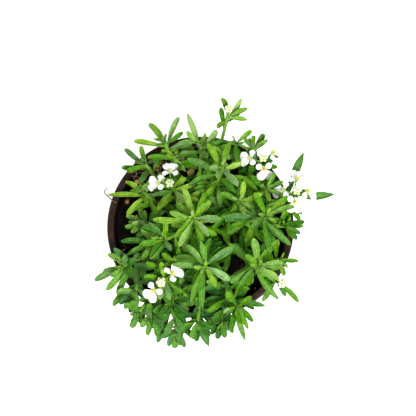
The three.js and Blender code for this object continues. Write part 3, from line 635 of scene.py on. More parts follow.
def grow_extra_leaves():
    """Smaller leaves low on the stems, in the shade of the mound, wherever there is room for them."""
    for number, shoot in enumerate(SHOOTS):
        draw = draws_from(number + EXTRA_SEED)
        first = 360 * draw()
        low = EXTRAS_FROM_ROOT if "root" in shoot else EXTRAS_FROM_FORK
        is_low = shoot["tip"][2] < LOW_TIP and not shoot.get("buds")
        high = LOW_EXTRAS_UP_TO if is_low else EXTRAS_UP_TO
        count = int((high - low) * shoot["span"] / EXTRA_STEP)
        for k in range(count):
            along = high - (high - low) * k / count
            length = LOW_EXTRA_LENGTH if is_low else EXTRA_LENGTH + EXTRA_LENGTH_GAIN * along
            length += EXTRA_LENGTH_PLAY * draw()
            rise = EXTRA_RISE_PLAY * draw() + EXTRA_RISE
            roll = LEAF_ROLL * (draw() - 0.5)
            bearing = first + TURN * k
            foot = bezier(shoot["course"], along)
            end = foot + bearing_of(bearing) * length
            is_clear = all(math.dist(end[:2], (x, y)) > room for x, y, room in CLEARINGS)
            for share in SPOT_SHARES:
                p = end * share + foot * (1 - share)
                seen = (p[0], p[1] + (p[2] - POT_HEIGHT + SOIL_BELOW_RIM) * SPOT_LEAN)
                is_clear &= all(math.dist(seen, (x, y)) > room for x, y, room in BARE_SPOTS)
            if is_clear and np.dot(end, bearing_of(BARE_BEARING)) < BARE_REACH:
                add_leaf(shoot, along, bearing, rise, length, 1, roll, "extras", EXTRA_YIELDS)


grow_shoots()
grow_tufts()
grow_lower_leaves()
grow_extra_leaves()


# Meshes

class Build:
    """The points, faces and per-point values of one piece, gathered form by form."""

    def __init__(self):
        self.points, self.faces, self.values, self.count = [], [], [], 0

    def add(self, points, faces, **values):
        points = np.reshape(points, (-1, 3))
        self.points.append(points)
        self.faces += [[i + self.count for i in face] for face in faces]
        self.values.append({name: np.broadcast_to(v, len(points)) for name, v in values.items()})
        self.count += len(points)

    def piece(self, name, material, slot, *replaced):
        mesh = bpy.data.meshes.new(name)
        mesh.from_pydata((np.vstack(self.points) * MM).tolist(), [], self.faces)
        for key in sorted({k for values in self.values for k in values}):
            layer = mesh.attributes.new(key, "FLOAT", "POINT")
            every = [np.broadcast_to(values.get(key, 0.0), len(points))
                     for values, points in zip(self.values, self.points)]
            layer.data.foreach_set("value", np.concatenate(every).astype(np.float32))
        mesh.shade_smooth()
        return adopt(name, mesh, material, slot, *replaced)


def new_object(name, data):
    obj = bpy.data.objects.new(name, data)
    bpy.context.scene.collection.objects.link(obj)
    return obj


def adopt(name, mesh, material, slot, *replaced):
    """The mesh joins the scene as a piece of the plant."""
    obj = new_object(name, mesh)
    mesh.materials.append(material)
    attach(obj, "root")
    if replaced:
        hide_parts(*replaced)
    return obj


def ring_faces(rows, around, capped=True):
    """Quads over rows of rings of equally many points, with a flat face at both ends."""
    faces = []
    for k in range(rows - 1):
        for i in range(around):
            j = (i + 1) % around
            faces.append((k * around + i, k * around + j, (k + 1) * around + j, (k + 1) * around + i))
    if capped:
        faces.append(tuple(reversed(range(around))))
        faces.append(tuple((rows - 1) * around + i for i in range(around)))
    return faces


def angles_round(count):
    return 2 * math.pi * np.arange(count) / count


def frames_along(points):
    """A side and an upper direction at each point of a line, turning as little as they can."""
    ways = np.gradient(points, axis=0)
    ways /= np.linalg.norm(ways, axis=1)[:, None]
    side = at(ways[0][2], ways[0][0], ways[0][1])
    sides = []
    for way in ways:
        side = unit(side - way * np.dot(side, way))
        sides.append(side)
    sides = np.array(sides)
    return sides, np.cross(ways, sides)


def tube(build, points, radii, around=10, ridges=0.0, **values):
    """A round stem through points, with faint ridges along it."""
    points = np.asarray(points, float)
    radii = np.asarray(radii, float)
    sides, others = frames_along(points)
    angle = angles_round(around)
    swell = 1 + ridges * np.cos(5 * angle)
    ring = (sides[:, None] * np.cos(angle)[None, :, None] + others[:, None] * np.sin(angle)[None, :, None])
    grid = points[:, None] + ring * (radii[:, None] * swell[None])[..., None]
    spread = {k: np.repeat(np.broadcast_to(v, len(points)), around) for k, v in values.items()}
    build.add(grid, ring_faces(len(points), around), **spread)


TOP_ACROSS = at(1, 0.94, 0.74, 0.42, 0.13, 0, -0.13, -0.42, -0.74, -0.94, -1)
UNDER_ACROSS = at(-0.93, -0.6, -0.22, 0, 0.22, 0.6, 0.93)


def blade(build, leaf, outline, rows, thick, keel, channel, sway=0.0, twist=0.0, wave=0.0, **values):
    """A thin blade with two faces: hollowed above along its middle, with a midrib below."""
    s = 1 - (1 - np.linspace(0, 1, rows)) ** CROWDING
    s[-1] = LAST_ROW_AT
    middle = blade_middle(leaf, s)
    ahead = blade_middle(leaf, s + 0.01) - middle
    ahead /= np.linalg.norm(ahead, axis=1)[:, None]
    side = unit(np.cross(leaf["up"], leaf["out"]))
    normal = np.cross(ahead, side)
    half = leaf["width"] / 2 * outline(s)
    middle = middle + side * (sway * leaf["length"] * np.sin(math.pi * s))[:, None]
    angle = np.radians(twist * s)[:, None]
    sides = side * np.cos(angle) + normal * np.sin(angle)
    normals = normal * np.cos(angle) - side * np.sin(angle)
    across = np.concatenate([TOP_ACROSS, UNDER_ACROSS])
    is_top = np.arange(len(across)) < len(TOP_ACROSS)
    u = across[None]
    fullness = np.minimum(1, half / (0.25 * leaf["width"]))[:, None]
    groove = GROOVE_DEPTH * np.exp(-(u / GROOVE_WIDTH) ** 2) * fullness * (1 - s[:, None] ** 3)
    hollow = channel * half[:, None] * np.abs(u) ** 1.7
    phase = RIPPLES * s[:, None] + 2.2 * np.sign(u) + 40 * sway
    ripple = wave * half[:, None] * np.sin(phase) * np.abs(u) ** 3
    rib = keel * np.exp(-(u / KEEL_WIDTH) ** 2) * (1 - s[:, None] ** 2)
    depth = (thick * (1 - np.abs(u) ** 3) + rib) * fullness
    height = hollow + ripple - np.where(is_top[None], groove, depth)
    grid = (middle[:, None] + sides[:, None] * (u * half[:, None])[..., None]
            + normals[:, None] * height[..., None])
    order = [*range(len(TOP_ACROSS), len(across)), *range(len(TOP_ACROSS))]
    grid = grid[:, order]
    shape = grid.shape[:2]
    faces = ring_faces(*shape)
    top = np.where(is_top, np.where(np.abs(across) > 0.97, 0.5, 1.0), 0.0)[order]
    build.add(grid, faces, along=np.repeat(s, shape[1]), across=np.tile(across[order], shape[0]),
              top=np.tile(top, shape[0]), **values)


def pointed(sharp):
    """The outline of a leaf whose tip is drawn out to a point, the more so the nearer sharp is to 1."""
    return lambda s: leaf_outline(s) * (1 - sharp * np.clip((s - 0.6) / 0.4, 0, 1) ** 1.5 * 0.75)


def add_leaves(build, shoot, draw):
    for leaf in shoot["leaves"] + shoot["extras"]:
        youth = 1 - min(leaf["length"] / 30, 1)
        # Painted light: a leaf is lighter the higher its foot stands, and darker, as painted shade, low in
        # the mound.
        tone = LEAF_TONE + YOUTH_TONE * youth + PAINTED_LIGHT_PER_MM * (leaf["foot"][2] - POT_HEIGHT)
        # Painted shade: the extra leaves, low in the mound, are made darker by EXTRA_SHADE.
        tone += TONE_PLAY * (draw() - 0.5) + shoot["lighter"] - EXTRA_SHADE * leaf["extra"]
        outline = pointed(max(0, 1.6 * draw() - 0.95))
        cool = max(0, draw() - 0.4) * 1.2 + (LOW_COOL if shoot["tip"][2] < COOL_TIP else 0)
        # Painted shade: extra leaves under tall shoots are made less greyish, the saturated green that shade
        # gives.
        if leaf["extra"] and shoot["tip"][2] > LOW_TIP:
            cool *= EXTRA_COOL_IN_PAINTED_SHADE
        if leaf["tint"]:
            tone, cool, *sharp = leaf["tint"]
            outline = pointed(*sharp or [0])
        rows = EXTRA_ROWS if leaf["extra"] else LEAF_ROWS if leaf["length"] > SHORT_LEAF else SHORT_LEAF_ROWS
        blade(build, leaf, outline, rows, LEAF_THICKNESS, LEAF_KEEL, LEAF_CHANNEL * (0.5 + 1.2 * draw()),
              sway=LEAF_SWAY * (draw() - 0.5), twist=LEAF_TWIST * (draw() - 0.5), wave=LEAF_WAVE * draw(),
              tone=tone, cool=cool, stem=0.0)


def add_young_leaves(build, shoot, draw):
    """The small upright leaves that are still opening at the tip of a shoot."""
    way = shoot["tip_way"]
    base = unit(np.cross(way, at(0.3, 0.9, 0.1)))
    for k in range(YOUNG_COUNT):
        out = turned(base, way, TURN * k + 20 * draw())
        age = 1 - k / YOUNG_COUNT
        length = 3.5 + 7.5 * age
        leaf = dict(foot=shoot["end"] - way * (0.9 * age + 0.1) + out * 0.35, out=out, up=way,
                    rise=78 - 44 * age + 8 * draw(), sag=0.06 + 0.16 * age, length=length,
                    width=1 + 0.2 * length)
        # Painted light: the young leaves are lighter the higher the shoot's tip stands; the youngest are
        # lighter still in their own colour.
        tone = 0.42 + 0.006 * (shoot["end"][2] - POT_HEIGHT) + 0.15 * (1 - age)
        blade(build, leaf, pointed(0.5), 9, 0.32, 0.15, 0.5, twist=10 * (draw() - 0.5),
              tone=tone, cool=0.4 * draw(), stem=0.0)


def add_stem(build, shoot):
    rooted = "root" in shoot
    base = STEM_RADIUS if rooted else SIDE_STEM_RADIUS
    t = np.linspace(0, 1, int(shoot["span"] / 1.6) + 2)
    points = bezier(shoot["course"], t)
    radii = base + (TIP_RADIUS - base) * t
    for leaf in shoot["leaves"] + shoot["extras"]:
        radii = radii + 0.16 * np.exp(-((t - leaf["along"] + 0.5 / shoot["span"]) * shoot["span"] / 0.9) ** 2)
    if rooted:
        below = at(-HOLE_DEPTH - FOOT_RISE + SEAT_GAP, -FOOT_RISE - 2, -FOOT_RISE, -1.5)
        points = np.vstack([points[0] + below[:, None] * UP, points])
        radii = np.concatenate([base * at(1, 1.05, 1.12, 1.05), radii])
        t = np.concatenate([np.zeros(4), t])
    if not shoot.get("buds"):
        points[-1] = points[-1] - shoot["tip_way"] * 0.1
        radii[-1] *= 0.5
    age = 1 - t if rooted else 0.35 * (1 - t)
    tube(build, points, radii, 12, 0.05, stem=1.0, along=age, tone=0.6, cool=0.1)


def add_stalk(build, shoot, bloom):
    end = bloom["foot"] - bloom["facing"] * 0.2
    bend = end - bloom["facing"] * STALK_BEND
    start = shoot["end"] - shoot["tip_way"] * STALK_DROP
    t = np.linspace(0, 1, 16)
    knee = start + (bend - start) * 0.75
    points = bezier((start, knee, bend, end), t)
    tube(build, points, STALK_RADIUS * (0.92 + 0.35 * t ** 6 + 0.2 * (1 - t) ** 4), 8, 0.03,
         stem=1.0, along=0.0, tone=0.85, cool=0.2)


def foliage_pieces(material):
    for k in range(sum("root" in shoot for shoot in SHOOTS)):
        build = Build()
        draw = draws_from(STEM_SEED + k)
        for shoot in (s for s in SHOOTS if s["node"] == k):
            add_stem(build, shoot)
            add_leaves(build, shoot, draw)
            if not shoot.get("buds"):
                add_young_leaves(build, shoot, draw)
            for bloom in shoot["blooms"]:
                add_stalk(build, shoot, bloom)
        build.piece(f"fine_stem_{k + 1}", material, "foliage", f"leafy_stem_{k + 1}")


def oval(build, middle, way, long, wide, rows=8, around=10, lobes=0.0, full=0.0, **values):
    """A closed egg along a direction, with lobes that run from its foot to its tip."""
    v = np.linspace(0, 1, rows + 2)[1:-1]
    side = unit(np.cross(way, at(0.31, 0.52, 0.79)))
    other = np.cross(way, side)
    angle = angles_round(around)
    radius = wide * np.sin(math.pi * v) ** (0.8 - full) * (1 - 0.18 * (v - 0.5))
    ring = side * np.cos(angle)[:, None] + other * np.sin(angle)[:, None]
    swell = 1 + lobes * np.cos(4 * angle)[None] * np.sin(math.pi * v)[:, None]
    grid = (middle + way * ((v - 0.5) * long)[:, None, None]
            + ring[None] * (radius[:, None] * swell)[..., None])
    build.add(grid, ring_faces(rows, around), along=np.repeat(v, around),
              seam=np.tile(np.cos(4 * angle), rows), **values)


def petal_blades(build, bloom, draw):
    for petal in petals_of(bloom):
        petal = dict(petal, width=PETAL_FULLNESS * petal["width"])
        blade(build, petal, petal_outline, 14, 0.3, 0.1, 0.1 + 0.1 * draw(), sway=0.05 * (draw() - 0.5),
              twist=14 * (draw() - 0.5), wave=0.16 + 0.16 * draw(), part=PETAL)


def floret_pieces(material):
    blooms = [bloom for shoot in SHOOTS for bloom in shoot["blooms"]]
    for k, bloom in enumerate(blooms):
        build = Build()
        draw = draws_from(FLORET_SEED + k)
        foot, facing = bloom["foot"], bloom["facing"]
        petal_blades(build, bloom, draw)
        outward = petals_of(bloom)[0]["out"]
        for j in range(SEPAL_COUNT):
            out = turned(outward, facing, 45 + 360 / SEPAL_COUNT * j)
            sepal = dict(foot=foot + facing * 0.2 + out * 0.4, out=out, up=facing, rise=42, sag=0.1,
                         length=2.6, width=1.9)
            blade(build, sepal, leaf_outline, 8, 0.25, 0.1, 0.3, part=GREEN)
        tube(build, [foot, foot + facing * 0.8, foot + facing * 1.5, foot + facing * 1.9],
             [0.85, 1.1, 1.0, 0.55], 10, part=GREEN, along=0.2)
        gold = GOLD.get(k + 1, 1.0)
        full = 0.6 + 0.4 * gold
        oval(build, foot + facing * 2.5, facing, 2.0 * full, 0.75 * full, 7, 10, 0.08, part=OVARY,
             gold=gold)
        for j in range(STAMEN_COUNT):
            out = turned(outward, facing, 360 / STAMEN_COUNT * j + 14 * draw())
            start = foot + facing * 1.5 + out * 0.5
            end = foot + facing * (2.9 + 0.5 * draw()) + out * (1.25 + 0.3 * draw())
            line = bezier((start, start + facing * 0.8, end - out * 0.4, end), np.linspace(0, 1, 5))
            tube(build, line, [0.16, 0.15, 0.14, 0.13, 0.12], 5, part=FILAMENT, along=0.5)
            oval(build, end + facing * 0.15, unit(facing + out * 0.6), 1.2 * full, 0.42 * full, 5, 7,
                 part=ANTHER, gold=gold)
        build.piece(f"fine_floret_{k + 1}", material, "petals", f"floret_{k + 1}")


def bud_pieces(material):
    """Heads of buds: large ones at an icosahedron's corners, small ones at those of its dual between them."""
    golden = (1 + math.sqrt(5)) / 2
    signs = [(a, b) for a in (-1, 1) for b in (-1, 1)]
    corners = [(a, b * golden, 0) for a, b in signs]
    corners += [(0, a, b * golden) for a, b in signs]
    corners += [(a * golden, 0, b) for a, b in signs]
    between = [(a, b, c) for a, b in signs for c in (-1, 1)]
    between += [(0, a / golden, b * golden) for a, b in signs]
    between += [(a / golden, b * golden, 0) for a, b in signs]
    between += [(a * golden, 0, b / golden) for a, b in signs]
    heads = [shoot for shoot in SHOOTS if shoot.get("buds")]
    for k, shoot in enumerate(heads):
        build = Build()
        draw = draws_from(BUD_SEED + k)
        way = shoot["tip_way"]
        turn = Vector((0, 0, 1)).rotation_difference(Vector(way))
        middle = shoot["end"] + way * (BUD_SEAT + SEAT_GAP)
        tube(build, [shoot["end"] + way * SEAT_GAP, middle - way * 1.2, middle, middle + way * 1.2],
             [1.1, 1.5, 1.6, 0.7], 10, part=GREEN, along=0.1)
        for number, corner in enumerate(corners + between):
            out = np.array(turn @ Vector(unit(at(*corner))))
            level = np.dot(out, way)
            if level < LOWEST_BUD:
                continue
            if number < len(corners):
                reach, long, wide, rows, around = LARGE_BUD
                size = (1.0 if level < 0.6 else 0.86) * (0.82 + 0.36 * draw())
                tube(build, [middle + out * 0.6, middle + out * 1.8], [0.5, 0.7], 6, part=GREEN, along=0.1)
            else:
                reach, long, wide, rows, around = SMALL_BUD
                size = 0.8 + 0.25 * draw()
            oval(build, middle + out * reach, unit(out + way * 0.25), long * size, wide * size, rows,
                 around, 0.07, 0.15, part=BUD)
        build.piece(f"fine_buds_{k + 1}", material, "buds", f"bud_head_{k + 1}")


# Pot and soil

def lathe(build, profile, around, **values):
    """A turned form from its profile, which starts and ends on the axis."""
    angle = angles_round(around)
    inner = profile[1:-1]
    grid = [[(r * math.cos(a), r * math.sin(a), z) for a in angle] for r, z in inner]
    points = np.array(grid).reshape(-1, 3)
    faces = [face[::-1] for face in ring_faces(len(inner), around, capped=False)]
    points = np.vstack([points, [(0, 0, profile[0][1]), (0, 0, profile[-1][1])]])
    first, last = len(points) - 2, len(points) - 1
    top = (len(inner) - 1) * around
    for i in range(around):
        j = (i + 1) % around
        faces.append((first, j, i))
        faces.append((last, top + i, top + j))
    build.add(points, faces, **values)


def arc(r, z, radius, start, end, steps=5):
    """Points of a rounded edge in the profile."""
    return [(r + radius * math.cos(math.radians(a)), z + radius * math.sin(math.radians(a)))
            for a in np.linspace(start, end, steps)]


def pot_profile():
    """The pot's turned outline, from the middle of its underside round to the middle of its floor."""
    collar = COLLAR_FOOT
    collar_radius = WALL_TOP_RADIUS + COLLAR_STEP
    collar_top_radius = RIM_RADIUS - COLLAR_FLARE
    lip = POT_HEIGHT - LIP_HEIGHT
    inner = RIM_RADIUS - RIM_BAND
    slope = (WALL_TOP_RADIUS - BASE_RADIUS) / (collar - BASE_ROUND)
    profile = [(0, 0), (12, 0), (DRAIN_RING - 9, 0), (BASE_RADIUS - BASE_ROUND, 0)]
    profile += arc(BASE_RADIUS - BASE_ROUND, BASE_ROUND, BASE_ROUND, -70, -10)
    for z in np.linspace(6, collar - 8, 12):
        profile.append((BASE_RADIUS + slope * (z - BASE_ROUND), z))
    # A shallow groove runs round the wall below the collar.
    for z, out in ((collar - 6, 0), (collar - 5.6, -0.35), (collar - 5, -0.35), (collar - 4.6, 0)):
        profile.append((BASE_RADIUS + slope * (z - BASE_ROUND) + out, z))
    profile += [(WALL_TOP_RADIUS, collar), (WALL_TOP_RADIUS + 0.4, collar + 0.2),
                (collar_radius - 0.3, collar + 0.55), (collar_radius, collar + 0.9)]
    for z in np.linspace(collar + 3, lip - 1, 5):
        share = (z - collar) / (lip - collar)
        profile.append((collar_radius + (collar_top_radius - collar_radius) * share, z))
    profile += [(collar_top_radius, lip), (RIM_RADIUS - 0.2, lip + 0.3), (RIM_RADIUS, lip + 0.8)]
    profile += arc(RIM_RADIUS - RIM_ROUND, POT_HEIGHT - RIM_ROUND, RIM_ROUND, 0, 90, 7)
    profile += [(RIM_RADIUS - 2.6, POT_HEIGHT - 0.12), (inner + 2.4, POT_HEIGHT - 0.12)]
    profile += arc(inner + 0.7, POT_HEIGHT - 0.7, 0.7, 90, 180, 5)
    profile += [(inner - 0.5, collar + 10), (inner - 1, collar + 3), (WALL_TOP_RADIUS - WALL, collar - 1)]
    profile += [(BASE_RADIUS - WALL + 8, 50), (BASE_RADIUS - WALL, FLOOR)]
    return profile + [(DRAIN_RING - 9, FLOOR), (0, FLOOR)]


def pot_piece(material):
    build = Build()
    lathe(build, pot_profile(), POT_SIDES)
    pot = build.piece("fine_pot", material, "pot", "pot")
    cutters = bmesh.new()
    for k in range(DRAIN_COUNT):
        x, y = bearing_of(360 * k / DRAIN_COUNT)[:2] * DRAIN_RING * MM
        bmesh.ops.create_cone(cutters, cap_ends=True, segments=DRAIN_SIDES, radius1=DRAIN_RADIUS * MM,
                              radius2=DRAIN_RADIUS * MM, depth=3 * FLOOR * MM,
                              matrix=Matrix.Translation((x, y, 0)))
    cutter_mesh = bpy.data.meshes.new("drains")
    cutters.to_mesh(cutter_mesh)
    cutter = new_object("drains", cutter_mesh)
    cut = pot.modifiers.new("drains", "BOOLEAN")
    cut.operation = "DIFFERENCE"
    cut.object = cutter
    cut.solver = "EXACT"
    bpy.context.view_layer.update()
    done = bpy.data.meshes.new_from_object(pot.evaluated_get(bpy.context.evaluated_depsgraph_get()))
    pot.modifiers.clear()
    pot.data = done
    bpy.data.objects.remove(cutter)
    done.set_sharp_from_angle(angle=math.radians(SHARP_EDGE))


def soil_height(x, y):
    """The crumbly top of the soil, in millimetres."""
    crumbs = noise.fractal(Vector((x / CRUMB_SIZE, y / CRUMB_SIZE, 4.0)), 0.9, 2.1, 4)
    clods = noise.noise(Vector((x / CLOD_SIZE, y / CLOD_SIZE, 11.0)))
    edge = 1 - min(1, math.hypot(x, y) / SOIL_RADIUS) ** 10
    return (float(soil_top(x, y)) + edge * (CRUMB_HEIGHT * crumbs + CLOD_HEIGHT * clods)
            + EDGE_CRUMBS * crumbs)


def lump(build, place, size, draw, **values):
    """A small knocked-about grain."""
    corners = [(x, y, z) for x in (-1, 1) for y in (-1, 1) for z in (-1, 1)]
    angle = 6.3 * draw()
    axis = Vector((draw() - 0.5, draw() - 0.5, draw() - 0.5)).normalized()
    turn = np.array(Matrix.Rotation(angle, 3, axis))
    points = [turn @ (at(*c) * size * (0.4 + 0.35 * draw())) for c in corners]
    faces = [(0, 1, 3, 2), (4, 6, 7, 5), (0, 4, 5, 1), (2, 3, 7, 6), (0, 2, 6, 4), (1, 5, 7, 3)]
    build.add(np.array(points) + place, faces, **values)


def soil_body(build):
    angle = angles_round(SOIL_AROUND)
    points = []
    for k in range(SOIL_RINGS, 0, -1):
        reach = SOIL_RADIUS * (k / SOIL_RINGS) ** 0.8
        for a in angle:
            x, y = reach * math.cos(a), reach * math.sin(a)
            points.append((x, y, soil_height(x, y)))
    faces = ring_faces(SOIL_RINGS, SOIL_AROUND, capped=False)
    points.append((0, 0, soil_height(0, 0)))
    top, centre = (SOIL_RINGS - 1) * SOIL_AROUND, len(points) - 1
    faces += [(top + i, top + (i + 1) % SOIL_AROUND, centre) for i in range(SOIL_AROUND)]
    start = len(points)
    for r, z in ((SOIL_RADIUS, COLLAR_FOOT + 3), (WALL_TOP_RADIUS - WALL - SIDE_GAP, COLLAR_FOOT - 1),
                 (BASE_RADIUS - WALL - SIDE_GAP, FLOOR)):
        points += [(r * math.cos(a), r * math.sin(a), z) for a in angle]
    for i in range(SOIL_AROUND):
        j = (i + 1) % SOIL_AROUND
        faces.append((start + i, start + j, j, i))
        for row in (start, start + SOIL_AROUND):
            faces.append((row + SOIL_AROUND + i, row + SOIL_AROUND + j, row + j, row + i))
    faces.append(tuple(start + 2 * SOIL_AROUND + i for i in reversed(range(SOIL_AROUND))))
    build.add(points, faces, grit=0.0)


def place_on_soil(draw, spread):
    """A place drawn evenly within a share of the soil's radius."""
    reach = SOIL_RADIUS * math.sqrt(draw()) * spread
    return bearing_of(360 * draw())[:2] * reach


def add_grit(build, draw):
    """Crumbs and grit strewn over the soil."""
    for _ in range(GRIT_COUNT):
        x, y = place_on_soil(draw, GRIT_SPREAD)
        size = 0.45 + 1.1 * draw() ** 3
        kind = draw()
        grit = 0.2 + 0.3 * draw() if kind < 0.9 else 0.55 + 0.45 * draw()
        lump(build, at(x, y, soil_height(x, y) + 0.25 * size),
             at(size, size * (0.6 + 0.5 * draw()), 0.6 * size), draw, grit=grit)


def add_debris(build, draw):
    """Pale debris on the bank of soil and, every second bit, up the pot's wall behind it."""
    for k in range(DEBRIS_COUNT):
        bearing = BANK_BEARING - 6 + 50 * (draw() - 0.5)
        reach = SOIL_RADIUS * (0.84 + 0.155 * draw())
        x, y = bearing_of(bearing)[:2] * reach
        size = 0.7 + 1.6 * draw() ** 2
        height = soil_height(x, y) + 0.4 * size
        if k % 2 == 0:
            height += (POT_HEIGHT - 1.2 - height) * draw()
            x, y = bearing_of(bearing)[:2] * (SOIL_RADIUS + 0.2)
        grit = 0.7 + 0.3 * draw() if draw() < 0.55 else 0.06 + 0.3 * draw()
        lump(build, at(x, y, height), at(1.5 * size, 0.7 * size, 0.5 * size), draw, grit=grit)


def add_fibres(build, draw):
    """Thin bent fibres of peat, kept inside the pot."""
    edge = SOIL_RADIUS - 0.6
    for _ in range(FIBRE_COUNT):
        x, y = place_on_soil(draw, FIBRE_SPREAD)
        way = bearing_of(360 * draw())
        bend = np.cross(UP, way) * (4 * draw() - 2)
        length = 3 + 7 * draw()
        line = []
        for t in np.linspace(-0.5, 0.5, 7):
            p = at(x, y, 0) + way * length * t + bend * t * t
            if math.hypot(p[0], p[1]) > edge:
                p[:2] *= edge / math.hypot(p[0], p[1])
            line.append((p[0], p[1], soil_height(p[0], p[1]) + 0.35 + 0.5 * draw()))
        tube(build, line, np.full(7, 0.13 + 0.14 * draw()), 5, grit=0.35 + 0.5 * draw())


def soil_piece(material):
    build = Build()
    soil_body(build)
    draw = draws_from(SOIL_SEED)
    add_grit(build, draw)
    add_debris(build, draw)
    add_fibres(build, draw)
    build.piece("fine_soil", material, "soil", "soil")


def chip_pieces(material):
    """Bark chips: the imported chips, refined and roughened in place."""
    for k, tone in enumerate(CHIP_TONES_AND_PAINTED_LIGHT, 1):
        node = f"bark_chip_{k}"
        form = bmesh.new()
        form.from_mesh(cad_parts[node].data)
        bmesh.ops.remove_doubles(form, verts=form.verts, dist=1e-5)
        for smooth in (0.25, 0.15, 0):
            bmesh.ops.subdivide_edges(form, edges=form.edges, cuts=1, use_grid_fill=True, smooth=smooth)
        form.normal_update()
        for v in form.verts:
            p = v.co / MM
            fibre = noise.noise(Vector((p.x * 0.5, p.y * 1.9, p.z * 1.9)) + Vector((k * 7, 0, 0)))
            grain = noise.noise(p * 2.6)
            v.co += v.normal * MM * (0.22 * fibre + 0.1 * grain - 0.08)
        mesh = bpy.data.meshes.new(f"fine_chip_{k}")
        form.to_mesh(mesh)
        mesh.shade_smooth()
        # The chip's tone: partly its own, partly painted light on a chip in the leaves' shade.
        layer = mesh.attributes.new("tone", "FLOAT", "POINT")
        layer.data.foreach_set("value", [tone] * len(mesh.vertices))
        adopt(f"fine_chip_{k}", mesh, material, "bark", node)


def dry_stalk_piece(material):
    """A wisp of dry stalk that lies over the left of the rim and sticks out of it."""
    knots = np.array([(-67.5, 17.5, 124.6), (-71, 19.4, 124.75), (-74.5, 22.4, 125.2), (-77.6, 25.6, 126.6),
                      (-76.8, 27.8, 127.6), (-74.6, 28.8, 127.2)])
    line = []
    for k in range(len(knots) - 1):
        before, after = knots[max(k - 1, 0)], knots[min(k + 2, len(knots) - 1)]
        for t in np.linspace(0, 1, 6, endpoint=False):
            line.append(0.5 * (2 * knots[k] + (knots[k + 1] - before) * t
                               + (2 * before - 5 * knots[k] + 4 * knots[k + 1] - after) * t * t
                               + (3 * knots[k] - before - 3 * knots[k + 1] + after) * t ** 3))
    line.append(knots[-1])
    build = Build()
    tube(build, line, np.linspace(0.5, 0.3, len(line)), 8, 0.12)
    build.piece("dry_stalk", material, "bark")


# Materials

def rgb(red, green, blue):
    """A colour as it is seen on a screen, in the linear values that shaders take."""
    return tuple(c / 12.92 if c <= 0.04045 else ((c + 0.055) / 1.055) ** 2.4
                 for c in (red / 255, green / 255, blue / 255)) + (1.0,)


class Look:
    """A node material, put together step by step."""

    def __init__(self, name, **uniform):
        self.material = bpy.data.materials.new(name)
        self.material.use_nodes = True
        self.tree = self.material.node_tree
        self.shader = self.tree.nodes["Principled BSDF"]
        for socket, value in uniform.items():
            self.shader.inputs[socket.replace("_", " ")].default_value = value

    def put(self, value, socket):
        if isinstance(value, bpy.types.NodeSocket):
            self.tree.links.new(value, socket)
        elif value is not None:
            socket.default_value = value

    def node(self, kind, output, inputs, **settings):
        node = self.tree.nodes.new("ShaderNode" + kind)
        for name, setting in settings.items():
            setattr(node, name, setting)
        for socket, value in inputs.items():
            self.put(value, node.inputs[socket])
        return node.outputs[output]

    def value(self, name):
        return self.node("Attribute", "Fac", {}, attribute_name=name)

    def place(self, stretch=(1, 1, 1)):
        place = self.node("TexCoord", "Object", {})
        return self.node("Mapping", "Vector", {"Vector": place, "Scale": stretch})

    def noise(self, scale, detail=4.0, rough=0.55, stretch=(1, 1, 1)):
        return self.node("TexNoise", "Fac", {
            "Vector": self.place(stretch), "Scale": scale, "Detail": detail, "Roughness": rough})

    def math(self, operation, a, b=None):
        return self.node("Math", 0, {0: a, 1: b}, operation=operation)

    def span(self, value, low, high, start=0.0, end=1.0):
        return self.node("MapRange", "Result", {
            "Value": value, "From Min": low, "From Max": high, "To Min": start, "To Max": end,
        }, interpolation_type="SMOOTHSTEP")

    def ramp(self, value, *stops):
        node = self.tree.nodes.new("ShaderNodeValToRGB")
        self.put(value, node.inputs["Fac"])
        points = node.color_ramp.elements
        while len(points) < len(stops):
            points.new(0.5)
        for point, (place, colour) in zip(points, stops):
            point.position = place
            point.color = colour
        return node.outputs["Color"]

    def mix(self, share, a, b):
        """A mix of two colours. Mix sockets share their names between data types, so go by place."""
        return self.node("Mix", 2, {0: share, 6: a, 7: b}, data_type="RGBA")

    def plus(self, a, b):
        return self.math("ADD", a, b)

    def times(self, a, b):
        return self.math("MULTIPLY", a, b)

    def over(self, colour, mask, share, own):
        """colour with a share of its own laid over it where the mask is 1."""
        return self.mix(self.times(mask, share), colour, own)

    def bump(self, height, strength, distance):
        normal = self.node("Bump", "Normal", {"Strength": strength, "Distance": distance, "Height": height})
        self.put(normal, self.shader.inputs["Normal"])

    def done(self, colour, roughness=None):
        self.put(colour, self.shader.inputs["Base Color"])
        self.put(roughness, self.shader.inputs["Roughness"])
        return self.material


